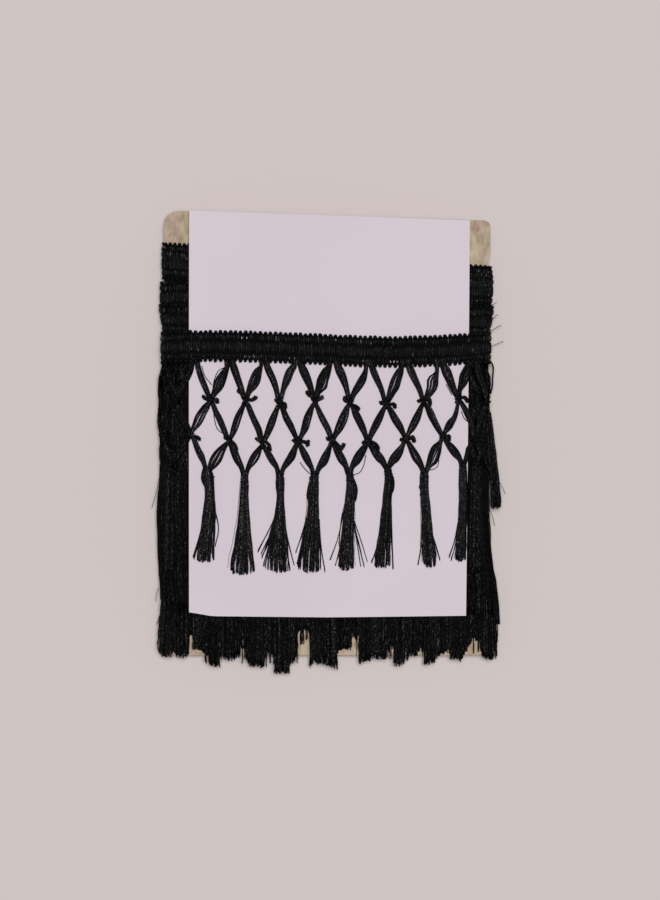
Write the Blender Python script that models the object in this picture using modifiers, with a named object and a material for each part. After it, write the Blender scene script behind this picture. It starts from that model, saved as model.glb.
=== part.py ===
"""Tassel fringe trim wound in turns round a board card, with a plain sheet slipped under the front turn.

It lies flat on a table: +X across the card, +Y towards the card's top edge, +Z up.
Sizes are in millimetres.
"""

import math
import random

import bmesh
import bpy
import numpy as np

METRES = 0.001
GAP = 0.3

# Board card
CARD_LOW = 6.0
CARD_THICK = 2.0
CARD_HIGH = CARD_LOW + CARD_THICK
CARD_LEFT = -87.7
CARD_RIGHT = 83.7
CARD_FOOT = -113.7
# The ends that stick out of the winding are a little wider than the stretch that it squeezes.
CARD_CORNERS = (
    # x, y, corner radius
    (CARD_LEFT, CARD_FOOT, 6.0),
    (CARD_RIGHT, CARD_FOOT, 6.0),
    (CARD_RIGHT, 93.0, 0.0),
    (85.1, 100.0, 0.0),
    (85.1, 117.0, 3.5),
    (-88.2, 122.6, 9.0),
    (-88.2, 110.0, 0.0),
    (CARD_LEFT, 104.0, 0.0),
)
CORNER_STEPS = 5

# Plain sheet: its corners, and the height of its underside down its length
SHEET_THICK = 1.0
SHEET_TOP = ((-74.7, 122.3), (74.2, 117.0))
SHEET_FOOT = ((-74.7, -90.8), (72.1, -92.6))
SHEET_RISE = (
    # share of the length from the top, height
    (0.0, 11.0),
    (0.09, 11.8),
    (0.17, 12.9),
    (0.24, 14.2),
    (0.31, 15.3),
    (0.4, 15.9),
    (0.58, 16.0),
    (0.77, 15.7),
    (0.89, 14.8),
    (1.0, 13.2),
)

# Turns under the sheet: the mass, its edges and the steps of its upper headings
MIDDLE = 7.0
TURNS_FOOT = -90.6
TURNS_FLAT = 72.0
TURNS_RISE = (
    # y, height of the upper face
    (105.0, 10.3),
    (88.5, 11.6),
    (72.6, 13.0),
    (55.0, 14.3),
    (22.0, 15.3),
    (-20.0, 15.4),
    (-63.0, 14.2),
    (TURNS_FOOT, 12.4),
)
TURNS_EDGES = (
    # y, left edge, right edge
    (105.0, -88.8, 84.9),
    (90.0, -89.6, 85.8),
    (84.0, -89.3, 85.9),
    (72.6, -90.0, 86.6),
    (66.0, -89.8, 85.3),
    (61.0, -88.8, 84.9),
    (37.0, -88.8, 84.9),
    (33.0, -90.8, 85.0),
    (22.0, -91.5, 84.9),
    (8.0, -91.4, 84.9),
    (-3.2, -90.1, 84.9),
    (-31.3, -90.9, 84.9),
    (-37.6, -91.96, 84.9),
    (-62.0, -91.2, 86.2),
    (-71.0, -91.3, 88.0),
    (-83.0, -89.6, 89.4),
    (TURNS_FOOT, -89.9, 89.6),
)
HEADING_STEPS = (
    # upper edge on the left, upper edge on the right, height of the step
    (105.0, 93.3, 1.1),
    (88.5, 80.0, 1.0),
    (72.6, 68.4, 1.0),
)
STEP_SLOPE = 1.2
LOCK_RIDGE = 0.7
LOCK_ROWS = (60.5, 49.0, 37.5, 33.0, 24.0, 13.0, 2.0, -9.0, -22.0, -37.6, -50.0, -62.0, -76.0)
RECESS_TOP = 64.0
RECESS_FOOT = 36.0
RECESS = 2.4

# Front heading: a woven band with picot loops along both edges, bent round the card over the sheet
PICOT_PITCH = 2.65
PICOT_RISE = 1.2
BAND_HALF = 8.5
BAND_LINE = (
    # x, y of the band's middle
    (-90.0, 48.2),
    (-74.2, 50.3),
    (-47.7, 50.1),
    (-26.5, 49.3),
    (-5.3, 48.5),
    (15.9, 47.4),
    (37.1, 47.1),
    (58.3, 47.8),
    (74.2, 48.9),
    (87.0, 49.7),
)
BAND_ROWS = (
    # distance up from the band's middle, thickness
    (-8.5, 0.7),
    (-6.0, 1.6),
    (-3.9, 1.0),
    (-3.0, 2.0),
    (3.2, 2.0),
    (4.1, 1.0),
    (6.2, 1.7),
    (8.5, 0.7),
)
BAND_FLAT = 76.0
BAND_LEFT = -89.15
BAND_RIGHT = 85.25
BAND_UNDER = 17.1
BAND_BACK = 2.0
SIDE_SHARE = 0.5

# Net: strands from the heading to the tassels, tied in two rows of knots
STRAND_WIDE = 2.9
STRAND_NARROW = 1.7
STRAND_THICK = 2.0
LEAF_WIDE = 4.2
HEADING_TIES = (
    # x
    -72.0,
    -53.5,
    -35.3,
    -17.3,
    1.5,
    20.4,
    39.5,
    57.9,
    76.3,
)
UPPER_KNOTS = (
    # x, y, direction of the stub in degrees, length of the stub
    (-81.0, 21.6, 190, 3.0),
    (-63.2, 21.6, 185, 3.6),
    (-44.8, 21.2, 20, 4.6),
    (-26.7, 19.9, 10, 3.6),
    (-8.0, 20.7, 160, 4.4),
    (10.7, 20.4, 345, 4.4),
    (29.8, 19.3, 350, 3.8),
    (49.7, 20.7, 15, 4.2),
    (67.8, 22.5, 5, 4.6),
    (82.0, 21.6, 350, 3.0),
)
LOWER_KNOTS = (
    # x, y, direction of the stub in degrees, length of the stub
    (-73.7, 3.7, 350, 3.8),
    (-53.6, 0.2, 345, 4.8),
    (-35.8, -1.7, 165, 3.8),
    (-16.9, -0.3, 350, 5.4),
    (1.2, 0.2, 345, 4.8),
    (20.1, -0.5, 345, 4.8),
    (40.2, 1.3, 10, 4.6),
    (59.7, 2.5, 10, 4.2),
    (76.8, 0.5, 190, 3.0),
)
KNOT_RADIUS = 2.05
KNOT_RIDGE = 0.5
KNOT_STEP = math.radians(50)
TIE_RADIUS = 1.6
PORT_HALF = math.radians(21)
STUB_PORT = math.radians(15)
STUB_HALF = 0.45
OPEN_STRANDS = {
    # Strands that lie opened out: the row that they start from, the tie, and -1 for left or 1 for right
    (0, 1, -1),
    (0, 2, -1),
    (0, 4, -1),
    (0, 6, -1),
    (0, 7, -1),
    (0, 8, -1),
    (1, 1, -1),
    (2, 1, -1),
    (2, 7, -1),
}

# Tassels: the tie that they hang from, the widths of neck and skirt, the foot and the lean of the foot
TASSELS = (
    # x, y of the tie, neck width, foot width, y of the foot, lean
    (-84.5, -13.3, 4.0, 7.0, -62.0, 0.3),
    (-64.9, -14.3, 5.2, 9.6, -63.2, -0.6),
    (-45.1, -17.0, 4.4, 13.0, -69.5, -0.8),
    (-26.7, -17.8, 4.0, 12.5, -70.5, -0.8),
    (-8.0, -17.0, 5.0, 12.4, -70.5, -1.6),
    (10.1, -16.2, 5.2, 12.6, -69.5, -0.9),
    (30.2, -13.1, 4.2, 11.2, -67.5, -1.2),
    (50.1, -15.4, 4.6, 9.4, -67.5, 1.0),
    (70.3, -11.1, 4.4, 8.2, -63.2, -0.9),
    (79.0, -11.1, 3.6, 4.6, -62.0, 0.3),
)
TASSEL_DEEP = 3.4
TASSEL_HEAD = 10.0
TASSEL_COLUMNS = 5
TASSEL_LAYERS = 2
TASSEL_LIFT = 0.9
SIDE_TASSEL = {"x": 85.3, "y": 9.0, "low": 9.5, "foot": -35.5, "right": 91.96}

# Fringe of the under turns below the sheet: clumps of locks, left to right
FRINGE_TOP = -90.9
FRINGE_STRIP = 4.0
FRINGE_LOW = CARD_HIGH + GAP
FRINGE_DEEP = 3.4
FRINGE_CLUMPS = (
    # left end, right end, foot, locks
    (-91.9, -76.9, -114.0, 4),
    (-73.1, -65.2, -112.6, 2),
    (-64.7, -56.2, -118.2, 3),
    (-55.7, -47.7, -114.5, 3),
    (-44.5, -34.5, -118.2, 3),
    (-33.9, -28.6, -116.1, 2),
    (-28.1, -21.2, -122.4, 3),
    (-20.7, -17.0, -116.1, 1),
    (-10.1, 3.7, -118.0, 5),
    (4.4, 11.7, -109.7, 2),
    (15.4, 30.7, -116.0, 5),
    (33.9, 41.9, -117.7, 3),
    (42.4, 46.1, -113.4, 1),
    (49.8, 55.1, -117.1, 2),
    (55.6, 63.6, -110.8, 3),
    (64.7, 73.1, -115.5, 3),
    (81.6, 89.4, -114.0, 3),
)
BACK_LOCKS = 22
BACK_FOOT = -113.0
BACK_SPREAD = 6.0
BACK_DEEP = 4.6


def at(table, x, column=1):
    """The table's column at x, between its rows, whichever way its first column runs."""
    rows = sorted(table)
    return float(np.interp(x, [row[0] for row in rows], [row[column] for row in rows]))


def shoulder(x, flat, edge, low, high):
    """Height of a surface that is flat as far as flat and then curves down to low at edge."""
    out = min(max((abs(x) - flat) / (edge - flat), 0.0), 1.0)
    return low + (high - low) * (1 - out**2.6) ** (1 / 2.6)


def sheet_low(y):
    share = (SHEET_TOP[0][1] - y) / (SHEET_TOP[0][1] - SHEET_FOOT[0][1])
    return at(SHEET_RISE, share)


def front_surface(x, y):
    """Height that the net and the tassels lie at: over the sheet, and down past its sides."""
    edge = -BAND_LEFT if x < 0 else BAND_RIGHT + 3.0
    return shoulder(x, BAND_FLAT, edge, MIDDLE, sheet_low(y) + SHEET_THICK + GAP)


# Objects and materials


def clear_scene():
    for thing in list(bpy.data.objects):
        bpy.data.objects.remove(thing, do_unlink=True)


def material(name, colour, roughness):
    made = bpy.data.materials.new(name)
    made.use_nodes = True
    shader = made.node_tree.nodes["Principled BSDF"]
    shader.inputs["Base Color"].default_value = (*colour, 1.0)
    shader.inputs["Roughness"].default_value = roughness
    return made


def make_object(name, form, paint, collection):
    """An object of the bmesh form, in metres, with its faces turned outwards."""
    bmesh.ops.recalc_face_normals(form, faces=form.faces)
    bmesh.ops.scale(form, vec=(METRES, METRES, METRES), verts=form.verts)
    mesh = bpy.data.meshes.new(name)
    form.to_mesh(mesh)
    form.free()
    made = bpy.data.objects.new(name, mesh)
    made.data.materials.append(paint)
    collection.objects.link(made)
    return made


# Shapes


def rounded_outline(corners):
    """The outline's points, each corner with a radius turned into a short curve."""
    points = []
    for index, (x, y, radius) in enumerate(corners):
        here = np.array((x, y))
        if not radius:
            points.append(here)
            continue
        before = np.array(corners[index - 1][:2]) - here
        after = np.array(corners[(index + 1) % len(corners)][:2]) - here
        start = here + before / np.linalg.norm(before) * radius
        end = here + after / np.linalg.norm(after) * radius
        for step in np.linspace(0, 1, CORNER_STEPS):
            points.append((1 - step) ** 2 * start + 2 * step * (1 - step) * here + step**2 * end)
    return points


def thicken(thing, thickness):
    solid = thing.modifiers.new("thickness", "SOLIDIFY")
    solid.thickness = thickness * METRES
    solid.offset = 1.0
    return thing


def join_rings(form, rings):
    """Faces from each ring of corners to the next."""
    for row, following in zip(rings, rings[1:]):
        for index, corner in enumerate(row):
            after = (index + 1) % len(row)
            form.faces.new((corner, row[after], following[after], following[index]))


def closed_band(form, rings):
    """A solid whose skin runs round through every ring in turn and back to the first."""
    rows = [[form.verts.new(point) for point in ring] for ring in rings]
    join_rings(form, rows + rows[:1])


def bundle(form, columns, layers, head_levels, strand_levels, place, inset):
    """A head whose lower face is a grid of cells, with one four-sided strand drawn out of each cell.

    place(u, v, level, cell) gives the point for shares u across and v through the bundle.
    """
    us = np.linspace(0, 1, columns + 1)
    vs = np.linspace(0, 1, layers + 1)
    grid = {}
    for i in range(columns + 1):
        for j in range(layers + 1):
            grid[i, j] = form.verts.new(place(us[i], vs[j], 0.0, 0))
    border = [(i, 0) for i in range(columns)] + [(columns, j) for j in range(layers)]
    border += [(i, layers) for i in range(columns, 0, -1)] + [(0, j) for j in range(layers, 0, -1)]
    rows = [[form.verts.new(place(us[i], vs[j], level, 0)) for i, j in border] for level in head_levels]
    rows.append([grid[key] for key in border])
    join_rings(form, rows)
    form.faces.new(rows[0])
    for i in range(columns):
        for j in range(layers):
            cell = i * layers + j
            outer = [grid[i, j], grid[i + 1, j], grid[i + 1, j + 1], grid[i, j + 1]]
            middle_u = (us[i] + us[i + 1]) / 2
            middle_v = (vs[j] + vs[j + 1]) / 2
            rows = [outer]
            for level in (0.0, *strand_levels):
                keep = (1 - inset) * (1 - 0.45 * level**3)
                half_u = (us[i + 1] - us[i]) / 2 * keep
                half_v = (vs[j + 1] - vs[j]) / 2 * keep
                ring = []
                for a, b in ((-1, -1), (1, -1), (1, 1), (-1, 1)):
                    corner = place(middle_u + a * half_u, middle_v + b * half_v, level, cell)
                    ring.append(form.verts.new(corner))
                rows.append(ring)
            join_rings(form, rows)
            form.faces.new(rows[-1])


def round_section(left, right, flat, low, high, flats, back_flats, shoulder_steps):
    """Points round the card, clockwise from the upper left: x, z and whether the point is on the back."""
    angles = [math.pi / 2 * (step + 1) / shoulder_steps for step in range(shoulder_steps)]
    share = 2 / 2.6

    def corner(edge, height, angle):
        side = math.copysign(flat, edge)
        return (
            side + (edge - side) * math.sin(angle) ** share,
            MIDDLE + (height - MIDDLE) * max(math.cos(angle), 0.0) ** share,
        )

    points = [(x, high) for x in flats]
    points += [corner(right, high, angle) for angle in angles]
    points += [corner(right, low, angle) for angle in angles[-2::-1]]
    points += [(x, low) for x in back_flats]
    points += [corner(left, low, angle) for angle in angles[:-1]]
    points += [corner(left, high, angle) for angle in angles[::-1]]
    return points


# The object's own pieces


def card(paint, collection):
    form = bmesh.new()
    form.faces.new([form.verts.new((x, y, CARD_LOW)) for x, y in rounded_outline(CARD_CORNERS)])
    return thicken(make_object("card", form, paint, collection), CARD_THICK)


def insert_sheet(paint, collection):
    form = bmesh.new()
    rows = []
    for share, height in SHEET_RISE:
        left = np.array(SHEET_TOP[0]) * (1 - share) + np.array(SHEET_FOOT[0]) * share
        right = np.array(SHEET_TOP[1]) * (1 - share) + np.array(SHEET_FOOT[1]) * share
        rows.append([form.verts.new((*point, height)) for point in (left, (left + right) / 2, right)])
    for row, following in zip(rows, rows[1:]):
        for index in range(2):
            form.faces.new((row[index], following[index], following[index + 1], row[index + 1]))
    return thicken(make_object("insert_sheet", form, paint, collection), SHEET_THICK)


def turn_rows():
    """The rows down the wound turns: y on the left, y on the right, and how far out the row lies."""
    rows = []
    risen = 0.0
    for left, right, rise in HEADING_STEPS:
        rows.append((left, right, risen - 0.5))
        risen += rise
        rows.append((left - STEP_SLOPE, right - STEP_SLOPE, risen - rise * 0.3))
    rows += [(y, y, risen - 0.6) for y in LOCK_ROWS]
    rows.append((TURNS_FOOT, TURNS_FOOT, 0.0))
    return rows


def wound_turns(paint, collection):
    """The turns under the sheet as one sleeve round the card, with stepped headings and ridged locks."""
    chance = random.Random(11)
    flats = (-TURNS_FLAT, -24.0, 24.0, TURNS_FLAT)
    back_flats = (TURNS_FLAT, 24.0, -24.0, -TURNS_FLAT)
    steps = 7
    rings = []
    for left_y, right_y, risen in turn_rows():
        middle_y = (left_y + right_y) / 2
        recessed = RECESS_FOOT < middle_y < RECESS_TOP
        section = round_section(
            at(TURNS_EDGES, left_y, 1),
            at(TURNS_EDGES, right_y, 2),
            TURNS_FLAT,
            RECESS if recessed else 0.0,
            at(TURNS_RISE, middle_y) - 0.35,
            flats,
            back_flats,
            steps,
        )
        waist = recessed or middle_y > 55.0
        ring = []
        for column, (x, z) in enumerate(section):
            y = left_y + (right_y - left_y) * (x - CARD_LEFT) / (CARD_RIGHT - CARD_LEFT)
            on_shoulder = abs(x) > TURNS_FLAT + 1.0 and z > MIDDLE + 1.0
            if on_shoulder and not waist:
                z += LOCK_RIDGE * (-1) ** column * chance.uniform(0.6, 1.0)
            ring.append((x, y, z))
        rings.append(ring)
    inner = []
    for x, z in section:
        side = CARD_RIGHT + GAP if x > 0 else CARD_LEFT - GAP
        height = CARD_HIGH + GAP if z > MIDDLE else CARD_LOW - GAP
        if abs(z - MIDDLE) < 0.01:
            height = MIDDLE
        inner.append((side if abs(x) > TURNS_FLAT + 8.0 else x, height))
    first, last = rings[0], rings[-1]
    rings.append([(x, point[1], z) for (x, z), point in zip(inner, last)])
    rings.append([(x, point[1], z) for (x, z), point in zip(inner, first)])
    form = bmesh.new()
    closed_band(form, rings)
    return make_object("wound_turns", form, paint, collection)


def front_heading(paint, collection):
    """The outermost turn's heading: ribbed between two grooves, its edges drawn out in picots."""
    half_pitch = PICOT_PITCH / 2
    count = int(2 * BAND_FLAT / half_pitch / 2) * 2
    flats = np.linspace(-BAND_FLAT, BAND_FLAT, count + 1)
    back_flats = (BAND_FLAT, 25.0, -25.0, -BAND_FLAT)
    rows = [(-BAND_HALF + 0.9, 0.0), *BAND_ROWS, (BAND_HALF - 0.9, 0.0)]
    rings = []
    for up, thickness in rows:
        section = round_section(
            BAND_LEFT - thickness * SIDE_SHARE,
            BAND_RIGHT + thickness * SIDE_SHARE,
            BAND_FLAT,
            BAND_BACK - thickness,
            BAND_UNDER + thickness,
            flats,
            back_flats,
            5,
        )
        edge_row = abs(up) == BAND_HALF
        ring = []
        for index, (x, z) in enumerate(section):
            drawn_in = PICOT_RISE if edge_row and index % 2 else 0.0
            ring.append((x, at(BAND_LINE, x) + up - math.copysign(drawn_in, up), z))
        rings.append(ring)
    form = bmesh.new()
    closed_band(form, rings)
    return make_object("front_heading", form, paint, collection)


def heading_foot(x):
    """y of the picot tips along the front heading's lower edge."""
    return at(BAND_LINE, x) - BAND_HALF


def knot_height(x, y):
    """Height of the middle of the net's yarn at a place."""
    return front_surface(x, y) + GAP + STRAND_THICK / 2


def add_knot(form, x, y, radius, ports):
    """A ridged lump with an open four-sided port for each yarn that leaves it.

    ports holds (key, angle, half of its angle). Each port comes back as its right and left upright edges.
    """
    middle = knot_height(x, y)
    half = STRAND_THICK / 2
    ports = sorted(ports, key=lambda port: port[1] % math.tau)
    corners = []
    for index, (key, angle, half_angle) in enumerate(ports):
        corners += [(angle - half_angle, key), (angle + half_angle, None)]
        following = ports[(index + 1) % len(ports)]
        start = angle + half_angle
        room = (following[1] - following[2] - start) % math.tau
        more = int(room / KNOT_STEP)
        corners += [(start + room * (step + 1) / (more + 1), None) for step in range(more)]
    edges = []
    for angle, _ in corners:
        place = (x + radius * math.cos(angle), y + radius * math.sin(angle))
        low = form.verts.new((*place, middle - half))
        edges.append((low, form.verts.new((*place, middle + half * 0.8))))
    crown = form.verts.new((x, y, middle + half + KNOT_RIDGE))
    found = {}
    for index, (_, key) in enumerate(corners):
        right, left = edges[index], edges[(index + 1) % len(edges)]
        form.faces.new((right[1], left[1], crown))
        if key is None:
            form.faces.new((right[0], left[0], left[1], right[1]))
        else:
            found[key] = (right, left)
    form.faces.new([low for low, _ in edges])
    return found


def four_corners(form, right, left, low, high):
    corners = ((*right, low), (*right, high), (*left, high), (*left, low))
    return [form.verts.new(corner) for corner in corners]


def add_strand(form, near, far, start, end, widest):
    """One strand of the net between two knots' ports, narrow at both and wider between them."""
    start = np.array(start)
    along = np.array(end) - start
    side = np.array((-along[1], along[0])) / np.linalg.norm(along)
    rings = [[near[0][0], near[0][1], near[1][1], near[1][0]]]
    for share in (0.3, 0.66):
        centre = start + along * share
        swell = math.sin(math.pi * share)
        across = side * (STRAND_NARROW + (widest - STRAND_NARROW) * swell) / 2
        middle = knot_height(*centre)
        thick = STRAND_THICK / 2 * (0.75 + 0.2 * swell)
        ring = four_corners(form, centre - across, centre + across, middle - thick, middle + thick)
        rings.append(ring)
    rings.append([far[1][0], far[1][1], far[0][1], far[0][0]])
    join_rings(form, rings)


def add_stub(form, port, x, y, angle, length):
    """The cut end or loop of yarn that stands out of a knot."""
    across = np.array((-math.sin(angle), math.cos(angle))) * STUB_HALF
    tip = np.array((x, y)) + np.array((math.cos(angle), math.sin(angle))) * length
    low = knot_height(*tip) - STRAND_THICK * 0.35
    high = knot_height(*tip) + STRAND_THICK * 0.3
    end = four_corners(form, tip - across, tip + across, low, high)
    join_rings(form, [[port[0][0], port[0][1], port[1][1], port[1][0]], end])
    form.faces.new(end)


def net_strands():
    """Every strand of the net as its row, the numbers of its upper and lower tie, and its side."""
    found = []
    counts = (len(HEADING_TIES), len(UPPER_KNOTS), len(LOWER_KNOTS), len(TASSELS))
    for row in range(3):
        for index in range(counts[row]):
            for side in (-1, 1):
                other = index + ((side - 1) // 2 if row == 1 else (side + 1) // 2)
                if 0 <= other < counts[row + 1]:
                    found.append((row, index, other, side))
    return found


def front_net(paint, collection):
    """The ties under the heading, two rows of knots, the ties over the tassels, and their strands."""
    form = bmesh.new()
    rows = [
        [(x, heading_foot(x) - GAP - TIE_RADIUS * 1.1) for x in HEADING_TIES],
        [row[:2] for row in UPPER_KNOTS],
        [row[:2] for row in LOWER_KNOTS],
        [(row[0], row[1] + GAP + TIE_RADIUS) for row in TASSELS],
    ]
    ports = {(row, index): [] for row, places in enumerate(rows) for index in range(len(places))}
    for strand in net_strands():
        row, index, other, _ = strand
        (x, y), (end_x, end_y) = rows[row][index], rows[row + 1][other]
        angle = math.atan2(end_y - y, end_x - x)
        ports[row, index].append((strand, angle, PORT_HALF))
        ports[row + 1, other].append((strand, angle + math.pi, PORT_HALF))
    stubs = {}
    for row, knots in ((1, UPPER_KNOTS), (2, LOWER_KNOTS)):
        for index, (_, _, degrees, length) in enumerate(knots):
            stubs[row, index] = (math.radians(degrees), length)
            ports[row, index].append(("stub", math.radians(degrees), STUB_PORT))
    found = {}
    for (row, index), leaving in ports.items():
        radius = KNOT_RADIUS if row in (1, 2) else TIE_RADIUS
        found[row, index] = add_knot(form, *rows[row][index], radius, leaving)
    for strand in net_strands():
        row, index, other, side = strand
        widest = LEAF_WIDE if (row, index, side) in OPEN_STRANDS else STRAND_WIDE
        near, far = found[row, index][strand], found[row + 1, other][strand]
        add_strand(form, near, far, rows[row][index], rows[row + 1][other], widest)
    for (row, index), (angle, length) in stubs.items():
        add_stub(form, found[row, index]["stub"], *rows[row][index], angle, length)
    return make_object("front_net", form, paint, collection)


def tassel(number, row, paint, collection):
    """A bound head and a skirt of strands that widens towards its foot."""
    x, y, neck, foot_width, foot, lean = row
    chance = random.Random(100 + number)
    columns = TASSEL_COLUMNS if foot_width > 8.0 else TASSEL_COLUMNS - 1
    lengths = [chance.uniform(0.88, 1.0) for _ in range(columns * TASSEL_LAYERS)]
    sways = [chance.uniform(-0.03, 0.03) for _ in lengths]
    strand_length = y - TASSEL_HEAD - foot

    def place(u, v, level, cell):
        if level <= 0:
            width = neck * (1.0 + 0.15 * math.sin(-level * 7.0)) if level > -1 else neck * 0.7
            down = y - TASSEL_HEAD * (1 + level) - 0.3
            middle = x
        else:
            width = neck + (foot_width - neck) * level**1.3
            down = y - TASSEL_HEAD - 0.3 - strand_length * level * lengths[cell]
            middle = x + lean * level
        across = middle + width * (u - 0.5 + sways[cell] * max(level, 0.0))
        bulge = math.sin(math.pi * min(max(u, 0.0), 1.0))
        deep = TASSEL_DEEP * (0.55 + 0.45 * bulge)
        return (across, down, front_surface(across, down) + TASSEL_LIFT + deep * v)

    form = bmesh.new()
    bundle(form, columns, TASSEL_LAYERS, (-1.0, -0.75, -0.35), (0.5, 1.0), place, 0.14)
    return make_object(f"tassel_{number}", form, paint, collection)


def side_tassel(paint, collection):
    """The tassel of an under turn that has slipped out past the right edge."""
    side = SIDE_TASSEL
    chance = random.Random(77)
    columns = 4
    lengths = [chance.uniform(0.93, 1.0) for _ in range(columns * TASSEL_LAYERS)]
    lengths[-1] = 1.0

    def place(u, v, level, cell):
        share = (level + 0.25) / 1.25 if level <= 0 else (0.25 + level * lengths[cell]) / 1.25
        y = side["y"] + (side["foot"] - side["y"]) * max(share, 0.0)
        width = 1.8 + (side["right"] - side["x"] - 1.8) * max(share, 0.0) ** 1.2
        return (side["x"] + width * u, y, side["low"] + 3.0 * v)

    form = bmesh.new()
    bundle(form, columns, TASSEL_LAYERS, (-0.25, -0.12), (0.5, 1.0), place, 0.14)
    return make_object("side_tassel", form, paint, collection)


def lower_fringe(paint, collection):
    """Locks of the under turns below the sheet, hung from one narrow strip."""
    chance = random.Random(31)
    total = sum(clump[3] for clump in FRINGE_CLUMPS)
    ends = []
    for left, right, foot, count in FRINGE_CLUMPS:
        for lock in range(count):
            ragged = 0.0 if lock == count // 2 else chance.uniform(0.0, 3.0)
            width = (right - left) / count
            ends.append((left + width * lock, left + width * (lock + 1), foot + ragged))
    root_left = CARD_LEFT - 1.6
    root_right = CARD_RIGHT + 4.6

    def place(u, v, level, cell):
        root = root_left + (root_right - root_left) * u
        if level <= 0:
            return (root, FRINGE_TOP - FRINGE_STRIP * (1 + level), FRINGE_LOW + FRINGE_DEEP * v)
        left, right, foot = ends[cell]
        end = left + (right - left) * (u * total - cell)
        x = root + (end - root) * math.sin(level * math.pi / 2)
        y = FRINGE_TOP - FRINGE_STRIP + (foot - FRINGE_TOP + FRINGE_STRIP) * level
        return (x, y, FRINGE_LOW + FRINGE_DEEP * v * (1 - 0.35 * level))

    form = bmesh.new()
    bundle(form, total, 1, (-1.0,), (0.5, 1.0), place, 0.1)
    return make_object("lower_fringe", form, paint, collection)


def back_fringe(paint, collection):
    """Locks of the turns on the back, level on the table, hung from a strip of their own."""
    chance = random.Random(41)
    feet = [BACK_FOOT + chance.uniform(-BACK_SPREAD, BACK_SPREAD) / 2 for _ in range(BACK_LOCKS)]
    left = CARD_LEFT - 1.0
    right = CARD_RIGHT + 1.2

    def place(u, v, level, cell):
        x = left + (right - left) * u
        if level <= 0:
            return (x, FRINGE_TOP - FRINGE_STRIP * (1 + level), BACK_DEEP * v)
        y = FRINGE_TOP - FRINGE_STRIP + (feet[cell] - FRINGE_TOP + FRINGE_STRIP) * level
        return (x, y, max(BACK_DEEP * v * (1 - 0.4 * level), 0.0))

    form = bmesh.new()
    bundle(form, BACK_LOCKS, 1, (-1.0,), (0.5, 1.0), place, 0.1)
    return make_object("back_fringe", form, paint, collection)


def centre_on_origin(things):
    """Moves the meshes so that the middle of the whole object's underside is the origin."""
    graph = bpy.context.evaluated_depsgraph_get()
    points = []
    for thing in things:
        mesh = thing.evaluated_get(graph).to_mesh()
        points += [tuple(corner.co) for corner in mesh.vertices]
        thing.evaluated_get(graph).to_mesh_clear()
    low = np.min(points, axis=0)
    high = np.max(points, axis=0)
    shift = (-(low[0] + high[0]) / 2, -(low[1] + high[1]) / 2, -low[2])
    for thing in things:
        for corner in thing.data.vertices:
            corner.co = [value + move for value, move in zip(corner.co, shift)]


def build():
    clear_scene()
    collection = bpy.data.collections.new("tassel_fringe_trim")
    bpy.context.scene.collection.children.link(collection)
    yarn = {"colour": (0.012, 0.011, 0.013), "roughness": 0.75}
    things = [
        card(material("card", (0.46, 0.36, 0.27), 0.9), collection),
        insert_sheet(material("insert_sheet", (0.68, 0.61, 0.67), 0.85), collection),
        wound_turns(material("wound_turns", **yarn), collection),
        front_heading(material("front_heading", **yarn), collection),
        front_net(material("front_net", **yarn), collection),
        side_tassel(material("side_tassel", **yarn), collection),
        lower_fringe(material("lower_fringe", **yarn), collection),
        back_fringe(material("back_fringe", **yarn), collection),
    ]
    for number, row in enumerate(TASSELS):
        things.append(tassel(number, row, material(f"tassel_{number}", **yarn), collection))
    centre_on_origin(things)


build()
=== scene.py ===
import math
import random

import bpy
import numpy as np
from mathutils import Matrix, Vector
from mathutils.bvhtree import BVHTree


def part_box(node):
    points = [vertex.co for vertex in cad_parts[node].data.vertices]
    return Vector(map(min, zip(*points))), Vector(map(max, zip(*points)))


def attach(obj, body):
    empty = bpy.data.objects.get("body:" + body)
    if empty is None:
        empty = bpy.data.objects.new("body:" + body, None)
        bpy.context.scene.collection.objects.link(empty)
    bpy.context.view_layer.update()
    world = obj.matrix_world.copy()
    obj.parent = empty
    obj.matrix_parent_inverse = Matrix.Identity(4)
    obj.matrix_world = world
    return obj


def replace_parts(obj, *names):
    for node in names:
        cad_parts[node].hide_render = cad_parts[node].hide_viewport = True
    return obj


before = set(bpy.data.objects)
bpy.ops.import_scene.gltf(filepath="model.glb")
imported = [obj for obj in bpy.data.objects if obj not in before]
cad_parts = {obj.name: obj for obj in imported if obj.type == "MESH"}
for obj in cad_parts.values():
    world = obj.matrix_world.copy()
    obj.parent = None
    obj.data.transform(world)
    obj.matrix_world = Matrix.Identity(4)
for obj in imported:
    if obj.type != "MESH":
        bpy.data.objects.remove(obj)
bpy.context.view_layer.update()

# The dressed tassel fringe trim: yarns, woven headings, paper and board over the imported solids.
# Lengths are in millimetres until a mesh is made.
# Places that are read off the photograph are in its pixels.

METRES = 0.001
PIXEL = 0.53
PHOTO_MIDDLE = np.array((330.0, 441.0))
PHOTO_SIZE = (660, 900)
CARD_CORNER = np.array((-88.2, -113.7, 6.0))
CAMERA_HEIGHT = 3.0
FOCUS_HEIGHT = 0.014
SKY = 0.16
KEY = 1150.0
FLOOR_DARK = (0.663, 0.591, 0.578)
FLOOR_LIGHT = (0.673, 0.601, 0.588)
SHIFT = np.array(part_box("card")[0]) / METRES - CARD_CORNER

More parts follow.
